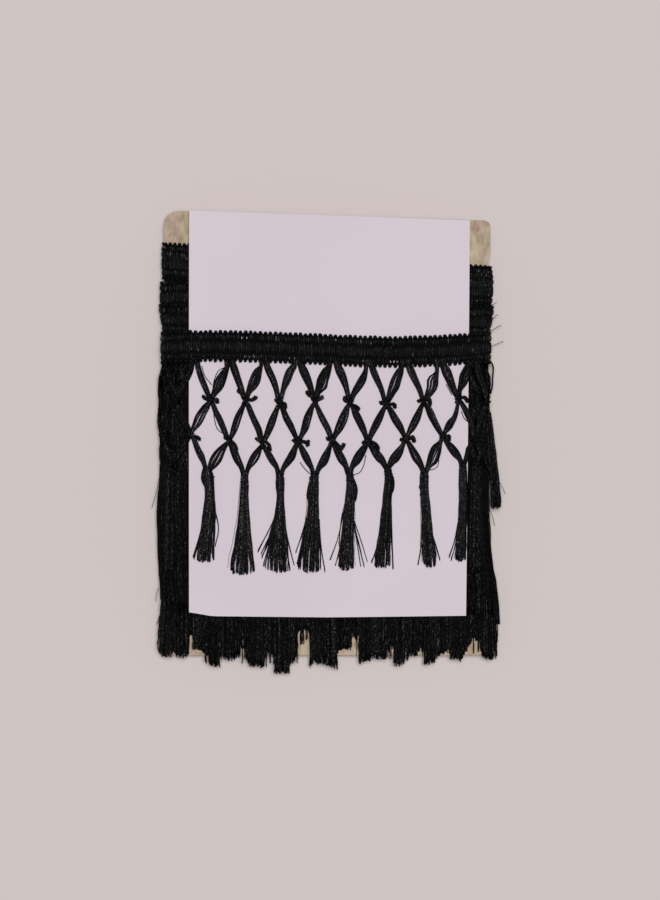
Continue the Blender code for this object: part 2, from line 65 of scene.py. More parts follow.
# Sizes shared with the solids
MIDDLE = 7.0
CARD_HIGH = 8.0
CARD_LEFT = -87.7
CARD_RIGHT = 83.7
SHEET_TOP = ((-74.7, 122.3), (74.2, 117.0))
SHEET_FOOT = ((-74.7, -90.8), (72.1, -92.6))
SHEET_RISE = (
    # share of the length from the top, height of the underside of the solid sheet
    (0.0, 11.0),
    (0.09, 11.8),
    (0.17, 12.9),
    (0.24, 14.2),
    (0.31, 15.3),
    (0.4, 15.9),
    (0.58, 16.0),
    (0.77, 15.7),
    (0.89, 14.8),
    (1.0, 13.2),
)
SHEET_THICK = 1.0
PAPER_THICK = 0.25
BAND_FLAT = 76.0
BAND_LEFT = -88.8
BAND_RIGHT = 84.4
BAND_UNDER = 17.1
BAND_BACK = 2.0
BAND_LINE = (
    # x, y of the front heading's middle
    (-90.0, 49.2),
    (-74.2, 50.3),
    (-47.7, 50.1),
    (-26.5, 49.3),
    (-5.3, 48.5),
    (15.9, 47.4),
    (37.1, 47.1),
    (58.3, 47.8),
    (74.2, 48.9),
    (87.0, 49.7),
)
UPPER_BANDS = (
    # upper edge on the left and on the right, in pixels
    (242.0, 265.0),
    (247.5, 269.5),
    (281.0, 275.0),
    (303.5, 305.5),
)
BAND_HALF = 8.5
PICOT_PITCH = 2.65
PAPER_SIDES = (189.0, 469.0)
TURNS_TOP = 104.6
TURNS_FOOT = -90.4
CORE_DEPTH = 2.0
CORE_SLOPE = 11.4
LOWEST = 0.34
# y of the ties, the upper knots, the lower knots and the tassels on the sides and the back
NET_ROWS = (42.0, 20.5, 0.5, -14.5)
FRINGE_TOP = -82.0
BACK_TOP = -88.0
# Where the fringe on the back reaches below the card: from x, to x
BACK_WISP = (11.0, 17.0)

# Net and tassels, in pixels
HEADING_TIES = (194.2, 229.0, 263.4, 297.4, 332.8, 368.5, 404.5, 439.2, 474.0)
UPPER_KNOTS = (
    (176, 401),
    (210.8, 400.2),
    (245.4, 401),
    (279.7, 403.5),
    (314.9, 402),
    (350.2, 402.5),
    (386.3, 404.5),
    (423.8, 402),
    (458, 398.5),
    (487, 401),
)
LOWER_KNOTS = (
    (190.9, 434),
    (228.9, 440.6),
    (262.4, 444.3),
    (298.2, 441.5),
    (332.2, 440.6),
    (367.9, 442),
    (405.8, 438.5),
    (442.7, 436.2),
    (475, 440),
)
TASSELS = (
    # x and y of the tie, then the lowest point
    (168.5, 466, 572),
    (207.7, 468, 563),
    (244.9, 473, 575.5),
    (279.7, 474.5, 573.5),
    (314.9, 473, 573.5),
    (349.1, 471.6, 571.5),
    (387.1, 465.7, 569),
    (424.6, 470, 568.5),
    (462.7, 462, 562),
    (475.5, 462, 574),
)
# Each tassel's sides at these heights
TASSEL_LEVELS = (477, 486, 495, 505, 515, 525, 535, 545, 555, 566)
TASSEL_SIDES = (
    tuple((left, 174.5) for left in (162.5, 162, 161.5, 161, 161, 160.5, 160.5, 160, 160, 160)),
    (
        (202.5, 214),
        (205, 214),
        (205.5, 214.5),
        (204.3, 215.3),
        (203, 216),
        (202, 215.3),
        (200, 215),
        (198.3, 214.5),
        (197, 214.3),
        (196, 214),
    ),
    (
        (241.8, 247.7),
        (241.3, 248.5),
        (240.3, 248),
        (239.8, 248.5),
        (238.8, 249.3),
        (237.5, 250),
        (236, 251),
        (234, 252),
        (232, 253),
        (229.5, 254.5),
    ),
    (
        (276.8, 283.8),
        (276.2, 284),
        (277.5, 283.5),
        (276.8, 284),
        (275, 284.7),
        (272.7, 285.5),
        (271.3, 286.5),
        (269.8, 287.5),
        (268.3, 288),
        (268.5, 287.5),
    ),
    (
        (311, 318.2),
        (309.3, 318.5),
        (307.7, 318.5),
        (308.3, 318.5),
        (307.3, 318.8),
        (306, 319),
        (304.3, 320),
        (303, 320.7),
        (301.7, 321),
        (301, 321),
    ),
    (
        (347, 353),
        (347, 353.3),
        (345.7, 353.7),
        (345, 354),
        (343.7, 354),
        (342.8, 353.7),
        (341.8, 353.5),
        (340.7, 353.5),
        (339.3, 353.7),
        (338, 354),
    ),
    (
        (385.3, 392.5),
        (384.5, 393),
        (383.5, 391.3),
        (382.5, 391),
        (381.2, 391),
        (380, 390.5),
        (378.8, 390.3),
        (377, 390),
        (375, 390),
        (374, 390),
    ),
    (
        (420.7, 428),
        (420.5, 428),
        (421.5, 428.5),
        (421.5, 429.7),
        (422, 430.8),
        (422, 431.5),
        (422, 432.7),
        (422, 434.3),
        (422.5, 436),
        (424, 436),
    ),
    (
        (459, 466.7),
        (459, 467),
        (459.3, 467),
        (459, 467),
        (458.5, 466.7),
        (458.3, 466.2),
        (457.7, 466),
        (456.3, 466),
        (455, 466),
        (454, 466),
    ),
    tuple((left, 481.0) for left in (471.5, 471, 470.5, 470, 470, 469.5, 469.5, 469, 469, 469)),
)
# Where a tassel's skirt is parted: x at its foot, width, and the height that the parting starts at
SKIRT_PARTINGS = {
    1: ((211.3, 1.6, 520), (195.6, 1.4, 535)),
    2: ((235.2, 1.8, 545), (249.4, 2.0, 540)),
    3: ((269.0, 1.8, 538), (273.5, 1.0, 545), (278.5, 1.0, 548), (286.8, 1.6, 532)),
    4: ((301.8, 1.9, 530), (308.7, 1.7, 542), (314.6, 1.9, 545), (319.5, 1.0, 525)),
    5: ((349.8, 1.0, 548),),
    6: ((385.0, 1.3, 540), (377.5, 0.9, 550)),
    7: ((432.5, 1.4, 540), (428.0, 0.8, 552)),
    8: ((459.5, 1.0, 538), (463.5, 0.8, 550)),
}
# Each strand's left and right sides on its way down, by row, by the knot that it starts from and by -1 for
# a strand to the left or 1 for one to the right
STRANDS = {
    (0, 0, -1): ((370, 188.5, 193.5), (380, 183, 189), (390, 178.5, 184)),
    (0, 0, 1): ((370, 196, 201.5), (380, 199, 205), (390, 203.5, 209)),
    (0, 1, -1): (
        (367, 224.5, 229.3), (373, 220.5, 228), (381, 214.8, 225.5), (387, 213.3, 223), (393, 211.5, 218),
    ),
    (0, 1, 1): ((366, 230, 237), (372, 232, 239), (380, 235, 241.3), (390, 238.7, 244.5)),
    (0, 2, -1): (
        (366, 259.5, 263), (372, 253.5, 262), (380, 249.7, 260.5), (386, 247.7, 257), (392, 246.2, 251.5),
    ),
    (0, 2, 1): ((366, 264, 270.3), (372, 266, 273), (380, 269.8, 276.5), (390, 273.8, 279)),
    (0, 3, -1): ((366, 291, 297), (372, 286, 294), (380, 283, 291.3), (390, 280.8, 286)),
    (0, 3, 1): ((366, 298, 305), (372, 300, 308.3), (380, 304, 311.3), (388, 308, 313.5)),
    (0, 4, -1): (
        (366, 327, 332), (372, 322, 331), (380, 317.7, 328.7), (386, 316, 327), (392, 314.8, 321),
    ),
    (0, 4, 1): ((366, 334, 341), (372, 336, 345), (380, 340, 347.7), (390, 344.3, 349.5)),
    (0, 5, -1): (
        (366, 364.5, 368), (372, 363, 367.5), (380, 358.5, 366), (388, 354, 361), (394, 351, 356.5),
    ),
    (0, 5, 1): ((366, 369, 374.3), (372, 370.5, 376.8), (380, 374, 380), (390, 379, 384)),
    (0, 6, -1): (
        (366, 400.5, 404), (372, 395.5, 404), (380, 391, 401.7), (386, 389, 400), (392, 387.5, 396),
    ),
    (0, 6, 1): ((366, 405.5, 412), (372, 407.5, 415), (380, 411.7, 418.3), (390, 417, 422.3)),
    (0, 7, -1): (
        (366, 434.5, 439), (373, 434.5, 438.7), (380, 427, 438.5), (387, 426.5, 437.3), (393, 425, 433),
    ),
    (0, 7, 1): ((366, 440, 447), (372, 442, 451), (380, 446, 453.7), (388, 449.7, 456)),
    (0, 8, -1): ((368, 463.7, 469.7), (376, 459.3, 469), (382, 458.3, 467.5), (390, 457.3, 462)),
    (0, 8, 1): ((370, 474, 480), (380, 477, 483), (390, 481, 486.5)),
    (1, 0, 1): ((409, 176, 181.5), (418, 180, 186), (427, 184.5, 190)),
    (1, 1, -1): (
        (407, 203, 210), (412, 199, 207), (418, 195, 204.3), (424, 192.7, 200.5), (430, 190.5, 195),
    ),
    (1, 1, 1): ((406, 211.5, 216), (412, 213.5, 218.7), (420, 217, 223), (431, 221.7, 227.3)),
    (1, 2, -1): (
        (407, 240.7, 245), (413, 237, 243), (420, 233.7, 240.7), (428, 231.2, 238), (434, 229.8, 235),
    ),
    (1, 2, 1): ((406, 246, 251), (412, 248, 253.5), (420, 251.3, 257), (431, 256.3, 262)),
    (1, 3, -1): ((410, 274.3, 279), (418, 270, 276.7), (426, 266.8, 274), (435, 264, 269.7)),
    (1, 3, 1): ((410, 281, 286), (418, 283.5, 289.7), (426, 287.7, 294), (434, 292, 297)),
    (1, 4, -1): (
        (408, 309.3, 314), (414, 305.8, 312.7), (420, 303.3, 311), (428, 301.3, 308.7), (434, 299.7, 304.7),
    ),
    (1, 4, 1): ((408, 315.5, 320), (414, 317.5, 323), (420, 320, 326), (430, 325.5, 331)),
    (1, 5, -1): (
        (408, 344.3, 349.7), (414, 341, 349), (420, 338.3, 347.3), (428, 335.3, 343.3), (434, 333.3, 338.7),
    ),
    (1, 5, 1): (
        (408, 351, 356), (414, 352.7, 359.5), (420, 355.5, 362.7), (428, 359.5, 366), (435, 363, 367.7),
    ),
    (1, 6, -1): ((410, 380.7, 385.5), (418, 376, 382.7), (426, 372, 378.7), (435, 368.5, 373.5)),
    (1, 6, 1): ((410, 387.5, 393), (418, 391, 398), (426, 396, 402.7), (433, 400.5, 405)),
    (1, 7, -1): (
        (408, 418.3, 423), (414, 415, 421.5), (420, 411.8, 419.5), (428, 408.3, 415), (433, 406.5, 410.7),
    ),
    (1, 7, 1): ((408, 425, 431), (414, 427, 434.5), (420, 430, 437), (429, 435.3, 441.3)),
    (1, 8, -1): (
        (404, 456, 459), (412, 454, 458.3), (418, 451.3, 456.7),
        (422, 447.5, 455), (427, 444.7, 452.3), (432, 443, 447),
    ),
    (1, 8, 1): ((404, 459.7, 464), (410, 462.5, 468), (418, 466, 472), (428, 470, 475)),
    (1, 9, -1): ((410, 480, 485), (420, 477, 483), (430, 475, 479)),
    (2, 0, -1): ((442, 184, 189), (450, 178, 184), (458, 172.5, 178)),
    (2, 0, 1): ((440, 192, 197), (448, 194.5, 200.3), (456, 198, 204.7), (462, 201.5, 206.3)),
    (2, 1, -1): ((446, 222, 227.5), (452, 215.7, 224.7), (458, 211, 222.3), (464, 208, 217.7)),
    (2, 1, 1): ((448, 229.5, 236.3), (454, 231.5, 239), (460, 234.2, 241.3), (467, 239, 244)),
    (2, 2, -1): ((450, 256, 261.7), (456, 251.5, 259.7), (462, 248.3, 255.7), (468, 246, 250.7)),
    (2, 2, 1): ((450, 263.7, 269.3), (456, 266.5, 273), (462, 270, 276.3), (468, 274.7, 279.2)),
    (2, 3, -1): ((449, 292, 297.3), (456, 288, 295.7), (462, 284.5, 291.3), (469, 281, 285.3)),
    (2, 3, 1): ((449, 299.3, 304.7), (456, 302, 309), (462, 305.5, 311.7), (468, 309.7, 314)),
    (2, 4, -1): ((448, 327, 331.7), (455, 322.7, 330.5), (462, 319, 327.7), (468, 316.3, 321.5)),
    (2, 4, 1): ((448, 333, 339.3), (454, 335, 342.7), (460, 338, 346), (466, 343, 348.3)),
    (2, 5, -1): ((449, 360, 367), (455, 355, 364), (461, 351.7, 360.3), (467, 349.7, 354.5)),
    (2, 5, 1): ((447, 369, 374.3), (452, 371.5, 379), (458, 375.5, 384), (462, 379.5, 386)),
    (2, 6, -1): ((446, 400, 404.7), (452, 394.7, 403), (458, 390, 399.5), (462, 388, 395)),
    (2, 6, 1): ((445, 407, 412), (452, 409.7, 416.7), (458, 412.7, 420.3), (465, 418, 423.5)),
    (2, 7, -1): (
        (442, 438.3, 442.3), (448, 432, 441.5), (454, 429, 440), (460, 427, 437.5), (466, 425.5, 431),
    ),
    (2, 7, 1): ((442, 444, 449), (448, 447.3, 455), (454, 452, 459.7), (459, 457, 462)),
    (2, 8, -1): ((448, 466.5, 470), (454, 465, 469)),
    (2, 8, 1): ((446, 475, 480), (454, 477, 482)),
}
# Strands with their yarns parted, so that the paper shows through: where the partings lie, from -1 at the
# left to 1
PARTED = {
    (0, 1, -1): ((-0.2, 0.0), (0.45, 0.6)),
    (0, 2, -1): ((-0.45, -0.15),),
    (0, 3, -1): ((0.0, 0.3),),
    (0, 3, 1): ((-0.4, -0.25),),
    (0, 4, -1): ((-0.3, -0.15), (0.45, 0.65)),
    (0, 6, -1): ((-0.35, -0.1), (0.2, 0.4)),
    (0, 7, -1): ((-0.7, -0.35),),
    (0, 7, 1): ((-0.6, -0.4),),
    (0, 8, -1): ((-0.3, -0.05), (0.4, 0.6)),
    (1, 1, -1): ((-0.3, 0.0), (0.45, 0.6)),
    (1, 2, -1): ((0.35, 0.65),),
    (1, 4, -1): ((0.4, 0.65),),
    (1, 5, -1): ((0.3, 0.45), (0.65, 0.8)),
    (1, 8, 1): ((-0.5, -0.1),),
    (2, 0, 1): ((-0.7, -0.45),),
    (2, 1, -1): ((-0.45, -0.15), (0.25, 0.5)),
    (2, 2, -1): ((0.4, 0.6),),
    (2, 4, -1): ((0.0, 0.15), (0.5, 0.75)),
    (2, 4, 1): ((-0.2, 0.1),),
    (2, 5, -1): ((0.25, 0.45),),
    (2, 6, 1): ((-0.3, 0.0), (0.4, 0.6)),
    (2, 7, -1): ((-0.15, 0.1), (0.5, 0.6)),
}
# Cut ends and small loops of yarn at the knots
STUBS = (
    ((208, 400), (204.5, 398), (203.5, 396)),
    ((213, 401), (217, 399.5), (217.5, 403.5)),
    ((247, 399), (252, 400), (256.5, 397)),
    ((242, 394), (239.5, 392), (238, 390)),
    ((278, 401), (275.5, 400)),
    ((282, 403), (285, 404), (285, 408.5)),
    ((312, 397), (308.5, 394.5), (306.5, 391)),
    ((317, 400.5), (320, 399), (323, 397)),
    ((348, 402), (345, 400.5), (344.5, 397.5)),
    ((353, 405), (357, 407), (358.5, 409.5)),
    ((384, 404), (380, 402.5)),
    ((389, 405), (393.5, 404), (395, 407.5)),
    ((421, 401), (418, 401)),
    ((427, 401), (429.5, 399.5), (430, 405)),
    ((460, 398), (464.5, 397.5), (467.5, 401.5)),
    ((194, 436), (198, 437.5), (199.5, 440)),
    ((227, 439), (225, 437)),
    ((232, 441), (235, 445), (236.5, 450)),
    ((260, 441), (256.5, 438.5)),
    ((265, 441), (269, 444.5), (270, 451)),
    ((296, 442), (293, 440)),
    ((300, 440.5), (304.5, 442), (308, 443)),
    ((308.8, 440.5), (308, 443), (307.6, 446)),
    ((329, 440), (327, 438)),
    ((335, 441.5), (339, 446), (342, 449)),
    ((341.5, 449), (343, 446.5), (343.8, 444)),
    ((365, 442), (362.8, 442.5)),
    ((371, 441.5), (375.5, 444), (378, 448), (377, 452)),
    ((403, 440), (400.8, 439.5)),
    ((409, 439), (412.5, 437), (414, 441.5)),
    ((445, 437), (448.5, 436), (449.5, 439.5)),
)
# Thicker folds of yarn beside the tassels' necks
FOLDS = (
    ((205, 466), (203, 472), (202.5, 479), (205, 485)),
    ((312, 476), (310.5, 478), (311.5, 480)),
    ((310, 482), (308.5, 490), (307.8, 496), (309.5, 500.5)),
    ((352.5, 477), (355, 483), (356.5, 489), (356, 495), (354.5, 501)),
    ((353.5, 480), (354.5, 487), (354.5, 493), (353, 499)),
    ((390, 472), (393, 479), (393, 488), (390.5, 494)),
    ((421.5, 484), (420, 487), (421.5, 490)),
    ((422, 491.5), (421, 494.5), (422.5, 497)),
)
# Single yarns that stand off from the net
LOOSE_YARNS = (
    ((202, 366), (205, 376), (212, 385)),
    ((226, 367), (218.5, 371), (214.5, 380), (213, 388)),
    ((213, 407), (214.5, 418), (217, 428), (222, 433)),
    ((329, 370), (322, 375), (319, 381), (318, 386)),
    ((322, 392), (326.5, 388), (327.5, 383)),
    ((363, 380), (356.5, 384), (353.5, 388), (352, 394)),
    ((345, 458), (346.5, 461), (346, 464)),
    ((366, 455), (363.5, 466), (359.5, 472.5), (353, 475)),
    ((439, 460), (437.5, 466), (434, 469), (429.5, 470)),
    ((461, 411), (464.5, 419), (470, 423)),
    ((446, 384), (449.5, 391), (452, 395)),
    ((300, 462), (306, 470), (313, 476)),
)
# How much shorter than its clump a yarn of a skirt ends, in millimetres, each as likely
SHORT_ENDS = (0.0, 0.0, 0.0, 0.0, 0.0, 0.0, 0.5, 1.5, 4.0)
# Yarns that stray from the tassels' skirts
STRAYS = (
    ((205, 508), (200, 535), (193.3, 558)),
    ((206, 510), (201, 535), (194, 558)),
    ((203, 515), (200, 540), (194.5, 557)),
    ((214.5, 508), (218.5, 528), (215, 546)),
    ((275, 518), (268, 532), (258, 551)),
    ((276, 518), (270, 535), (261, 553)),
    ((274, 520), (268, 542), (261.8, 558)),
    ((274, 520), (268.5, 545), (265.5, 567)),
    ((274, 528), (269, 545), (263.5, 565)),
    ((273, 528), (269.5, 548), (264.5, 566)),
    ((284.5, 520), (286.5, 545), (290, 571)),
    ((284, 515), (288, 540), (294, 565)),
    ((308, 512), (303, 532), (296, 552)),
    ((305, 528), (301, 548), (297, 563)),
    ((306, 520), (302, 545), (298, 567)),
    ((306, 520), (302.5, 548), (298.5, 569)),
    ((306, 520), (303, 548), (299.5, 567)),
    ((319, 520), (321, 545), (325, 571)),
    ((345, 505), (341.5, 518), (339, 545)),
    ((344, 512), (338, 538), (330, 560)),
    ((342, 530), (339.5, 550), (335, 565)),
    ((354, 522), (357.5, 545), (360.5, 567)),
    ((354, 525), (359, 545), (364, 566)),
    ((354, 520), (360, 538), (367, 561)),
    ((381, 535), (376.5, 550), (371.5, 562)),
    ((391, 500), (391.6, 540), (393.3, 568)),
    ((391.3, 505), (392, 545), (393, 569)),
    ((422, 528), (420.5, 548), (418, 565)),
    ((431, 530), (436, 547), (440, 560)),
    ((458, 522), (454, 542), (449, 557)),
    ((458, 525), (455, 545), (451, 560)),
)
# Hairs and loose loops past the wound edges, in pixels, with the height that each lies at
EDGE_HAIRS = (
    (9.0, 0.16, ((159, 478), (156, 492), (151.5, 508))),
    (7.0, 0.14, ((158, 588), (156, 595), (155.5, 602))),
    (6.0, 0.14, ((159, 616), (157.5, 621), (156, 625))),
    (9.0, 0.16, ((490, 323), (495, 317), (498.5, 314))),
    (8.5, 0.16, ((490, 332), (496, 328), (501.5, 325))),
    (9.5, 0.14, ((489, 308), (494, 304), (497, 302))),
    (8.0, 0.16, ((490, 347), (498, 343.5), (504, 341))),
    (10.0, 0.16, ((499, 481), (503, 488), (505.5, 494))),
    (8.0, 0.14, ((489, 508), (493, 517), (495, 526))),
    (8.0, 0.5, ((488, 360), (491.5, 362), (493.6, 368), (492.9, 377), (492.6, 386), (490.5, 394))),
)
# Half the width of a pinhole in the weave, and how near to its middle no yarn lies
HOLE_HALF = 0.22
HOLE_CLEAR = 0.36
# Where the heading's weave lets the paper show through: x, and the side of its middle
PINHOLES = (
    (241.5, 1),
    (246.5, 1),
    (244.5, -1),
    (249.5, -1),
    (254.5, -1),
    (289.5, -1),
    (294.5, -1),
    (390.5, -1),
    (393.5, -1),
    (396.8, -1),
    (396.5, 1),
)
# The foot of the fringe below the sheet: x, and how low the yarns reach
FRINGE_FOOT = (
    (157, 643),
    (158, 650),
    (160, 654),
    (171, 655),
    (172, 650),
    (174, 650),
    (176, 655),
    (185, 656),
    (188.5, 652),
    (189.3, 634),
    (192.3, 634),
    (192.8, 647),
    (199, 649),
    (204, 651),
    (208, 655),
    (208.3, 661),
    (211, 664),
    (219.5, 665),
    (220, 654),
    (224.5, 655),
    (225, 658),
    (232, 658),
    (240, 655),
    (241, 648),
    (246, 648),
    (247, 664),
    (264, 665),
    (265, 654),
    (273, 652),
    (274, 665),
    (275, 671),
    (289, 671),
    (289.7, 662),
    (294, 661),
    (296, 656),
    (297, 645),
    (299, 628),
    (309, 628),
    (309.5, 650),
    (309.8, 665),
    (312, 665),
    (313, 662),
    (325, 662),
    (329, 665),
    (337.7, 667),
    (338, 648),
    (351.7, 648),
    (352, 637),
    (358.7, 637),
    (359, 661),
    (362, 662),
    (363, 660),
    (368, 660),
    (372, 657),
    (388, 657),
    (389, 647),
    (393.5, 647),
    (394, 664),
    (404.5, 663),
    (405.5, 655),
    (409.5, 656),
    (410.5, 654),
    (418, 654),
    (418.5, 649),
    (424, 649),
    (424.5, 663),
    (434, 662),
    (436, 657),
    (440, 653),
    (445, 650),
    (449, 648),
    (450, 657),
    (461, 659),
    (463, 655),
    (466, 651),
    (469, 645),
    (472, 638),
    (480, 638),
    (481, 650),
    (483, 654),
    (487, 657),
    (497, 657),
    (498, 640),
)
# Thin wisps that reach past the rest: x, how low, and how many yarns
FRINGE_WISPS = (
    (187.5, 651, 8),
    (172.5, 655, 3),
    (180, 659, 3),
    (205.5, 664, 6),
    (221, 662, 4),
    (223.5, 661, 5),
    (242, 664, 3),
    (245, 660, 4),
    (266.5, 668, 5),
    (270.5, 665, 5),
    (276, 673, 4),
    (292, 664, 3),
    (297, 664, 5),
    (300.5, 646, 7),
    (303.5, 645, 6),
    (307, 641, 6),
    (310.5, 667, 4),
    (356, 656, 2),
    (378.5, 660, 3),
    (391, 660, 4),
    (407.5, 662, 6),
    (415.5, 657, 6),
    (423, 658, 3),
    (444, 655, 3),
    (447.5, 654, 3),
    (454, 661, 3),
    (467, 653, 4),
    (474, 655, 4),
    (478.5, 653, 6),
    (482, 653, 5),
    (491.5, 661, 2),
)
# The tassel that has slipped out at the right: height, left side, right side
SIDE_TASSEL = (
    (412, 485, 491),
    (433, 487, 493.7),
    (450, 488, 495.8),
    (465, 489, 497.5),
    (482, 490.2, 499.5),
    (495, 490.7, 500.8),
    (508, 491, 501),
)
# The outer yarns of the tuft below it
SIDE_TUFT = ((490, 552), (495.5, 578), (498, 600), (499.5, 623))
# How much further down the paper's foot hangs than its corners: share from the left, millimetres
PAPER_DIP = (
    (0.0, 0.0),
    (0.03, 0.6),
    (0.083, 1.9),
    (0.5, 1.75),
    (0.67, 1.2),
    (0.77, 0.85),
    (1.0, 0.0),
)


# Places


def at(table, x, column=1):
    """The table's column at x, between its rows, whichever way its first column runs."""
    rows = sorted(table)
    return np.interp(x, [row[0] for row in rows], [row[column] for row in rows])


def place(pixel_x, pixel_y):
    """Millimetres across and along the card for a pixel of the photograph."""
    return (pixel_x - PHOTO_MIDDLE[0]) * PIXEL, (PHOTO_MIDDLE[1] - pixel_y) * PIXEL


def sheet_high(y):
    """Height of the paper's upper face."""
    share = (SHEET_TOP[0][1] - y) / (SHEET_TOP[0][1] - SHEET_FOOT[0][1])
    return at(SHEET_RISE, share) + SHEET_THICK


def front_surface(x, y):
    """Height that the net and the tassels lie at: on the paper, and down past its sides."""
    edge = -BAND_LEFT if x < 0 else BAND_RIGHT + 3.0
    out = min(max((abs(x) - BAND_FLAT) / (edge - BAND_FLAT), 0.0), 1.0)
    return MIDDLE + (sheet_high(y) - MIDDLE) * (1 - out**2.6) ** (1 / 2.6)


def smooth(points, count):
    """A smooth curve of count points through the given ones."""
    points = np.asarray(points, float)
    if len(points) == 2:
        return points[0] + (points[1] - points[0]) * np.linspace(0, 1, count)[:, None]
    padded = np.vstack((2 * points[0] - points[1], points, 2 * points[-1] - points[-2]))
    steps = np.linspace(0, len(points) - 1, count)
    index = np.minimum(steps.astype(int), len(points) - 2)
    t = (steps - index)[:, None]
    a, b, c, d = (padded[index + offset] for offset in range(4))
    return 0.5 * (2 * b + (c - a) * t + (2 * a - 5 * b + 4 * c - d) * t**2 + (3 * b - a - 3 * c + d) * t**3)


# Meshes


class Yarns:
    """Collects round yarns, and makes them into one mesh with a tone for each yarn."""

    def __init__(self):
        self.points = []
        self.faces = []
        self.tones = []
        self.count = 0

    def add(self, path, radius, sides=4, tone=0.5, turn=0.4):
        path = np.asarray(path, float)
        along = np.gradient(path, axis=0)
        along /= np.linalg.norm(along, axis=1)[:, None] + 1e-9
        upright = np.abs(along[:, 2]) > 0.9
        reference = np.where(upright[:, None], (1.0, 0.0, 0.0), (0.0, 0.0, 1.0))
        side = np.cross(along, reference)
        side /= np.linalg.norm(side, axis=1)[:, None] + 1e-9
        over = np.cross(side, along)
        radius = np.broadcast_to(radius, len(path))[:, None, None]
        angles = turn + math.tau * np.arange(sides) / sides
        ring = np.cos(angles)[None, :, None] * side[:, None, :]
        ring = ring + np.sin(angles)[None, :, None] * over[:, None, :]
        tube = (path[:, None, :] + radius * ring).reshape(-1, 3)
        tube[:, 2] = np.maximum(tube[:, 2], 0.0)
        self.points.append(tube)
        start = self.count
        for row in range(len(path) - 1):
            for corner in range(sides):
                a = start + row * sides + corner
                b = start + row * sides + (corner + 1) % sides
                self.faces.append((a, b, b + sides, a + sides))
        self.faces.append(tuple(range(start + sides - 1, start - 1, -1)))
        last = start + (len(path) - 1) * sides
        self.faces.append(tuple(range(last, last + sides)))
        self.tones.append(np.full(len(path) * sides, tone))
        self.count += len(path) * sides

    def make(self, name, paint, slot="yarn"):
        made = new_piece(name, np.vstack(self.points), self.faces, paint)
        tone = made.data.attributes.new("tone", "FLOAT", "POINT")
        tone.data.foreach_set("value", np.concatenate(self.tones))
        return made


def new_piece(name, points, faces, paint):
    mesh = bpy.data.meshes.new(name)
    mesh.from_pydata(((np.asarray(points) + SHIFT) * METRES).tolist(), [], faces)
    mesh.polygons.foreach_set("use_smooth", [True] * len(mesh.polygons))
    mesh.materials.append(paint)
    made = bpy.data.objects.new(name, mesh)
    bpy.context.scene.collection.objects.link(made)
    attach(made, "root")
    return made


def grid_faces(rows, columns, closed=False):
    faces = []
    for row in range(rows - 1):
        for column in range(columns if closed else columns - 1):
            a = row * columns + column
            b = row * columns + (column + 1) % columns
            faces.append((a, b, b + columns, a + columns))
    return faces


# Materials


def principled(name, roughness, colour=None):
    made = bpy.data.materials.new(name)
    made.use_nodes = True
    nodes, links = made.node_tree.nodes, made.node_tree.links
    shader = nodes["Principled BSDF"]
    shader.inputs["Roughness"].default_value = roughness
    if colour:
        shader.inputs["Base Color"].default_value = (*colour, 1)
    coordinates = nodes.new("ShaderNodeTexCoord")
    return made, nodes, links, shader, coordinates


def noise(nodes, links, source, scale, detail=3.0, stretch=None):
    made = nodes.new("ShaderNodeTexNoise")
    made.inputs["Scale"].default_value = scale
    made.inputs["Detail"].default_value = detail
    if stretch:
        mapping = nodes.new("ShaderNodeMapping")
        mapping.inputs["Scale"].default_value = stretch
        links.new(source, mapping.inputs["Vector"])
        source = mapping.outputs["Vector"]
    links.new(source, made.inputs["Vector"])
    return made.outputs["Fac"]


def ramp(nodes, links, source, *stops):
    made = nodes.new("ShaderNodeValToRGB")
    elements = made.color_ramp.elements
    elements[0].position, elements[0].color = stops[0][0], (*stops[0][1], 1)
    elements[1].position, elements[1].color = stops[-1][0], (*stops[-1][1], 1)
    for position, colour in stops[1:-1]:
        elements.new(position).color = (*colour, 1)
    links.new(source, made.inputs["Fac"])
    return made.outputs["Color"]


def bump(nodes, links, source, shader, strength, distance):
    made = nodes.new("ShaderNodeBump")
    made.inputs["Strength"].default_value = strength
    made.inputs["Distance"].default_value = distance
    links.new(source, made.inputs["Height"])
    links.new(made.outputs["Normal"], shader.inputs["Normal"])


def yarn_material(name, gloss, bright, mottle, stretch, tones):
    """Black viscose: each yarn with a tone of its own, mottled along its length by its fine fibres. The
    lightest stop of the ramp is a painted glint, and bright scales the whole ramp, so that a low bright
    gives a copy painted darker as shade.
    """
    made, nodes, links, shader, coordinates = principled(name, 0.42)
    tone = nodes.new("ShaderNodeAttribute")
    tone.attribute_name = "tone"
    fibres = noise(nodes, links, coordinates.outputs["Object"], 1300.0, 3.0, (1.0, stretch, 1.0))
    half = nodes.new("ShaderNodeMath")
    half.operation = "MULTIPLY_ADD"
    half.inputs[1].default_value = tones
    half.inputs[2].default_value = 0.5 * (1.0 - mottle - tones)
    links.new(tone.outputs["Fac"], half.inputs[0])
    both = nodes.new("ShaderNodeMath")
    both.operation = "MULTIPLY_ADD"
    both.inputs[1].default_value = mottle
    links.new(fibres, both.inputs[0])
    links.new(half.outputs["Value"], both.inputs[2])
    # The last stop, far lighter than the rest, is a painted glint of the glossy yarn.
    stops = ((0.2, 0.0006), (0.5, 0.0026), (0.72, 0.0085), (0.88, 0.021), (1.0, 0.085))
    stops = [(position, (grey * bright, grey * bright * 0.96, grey * bright)) for position, grey in stops]
    links.new(ramp(nodes, links, both.outputs["Value"], *stops), shader.inputs["Base Color"])
    shader.inputs["Specular IOR Level"].default_value = gloss
    bump(nodes, links, fibres, shader, 0.4, 0.0001)
    return made


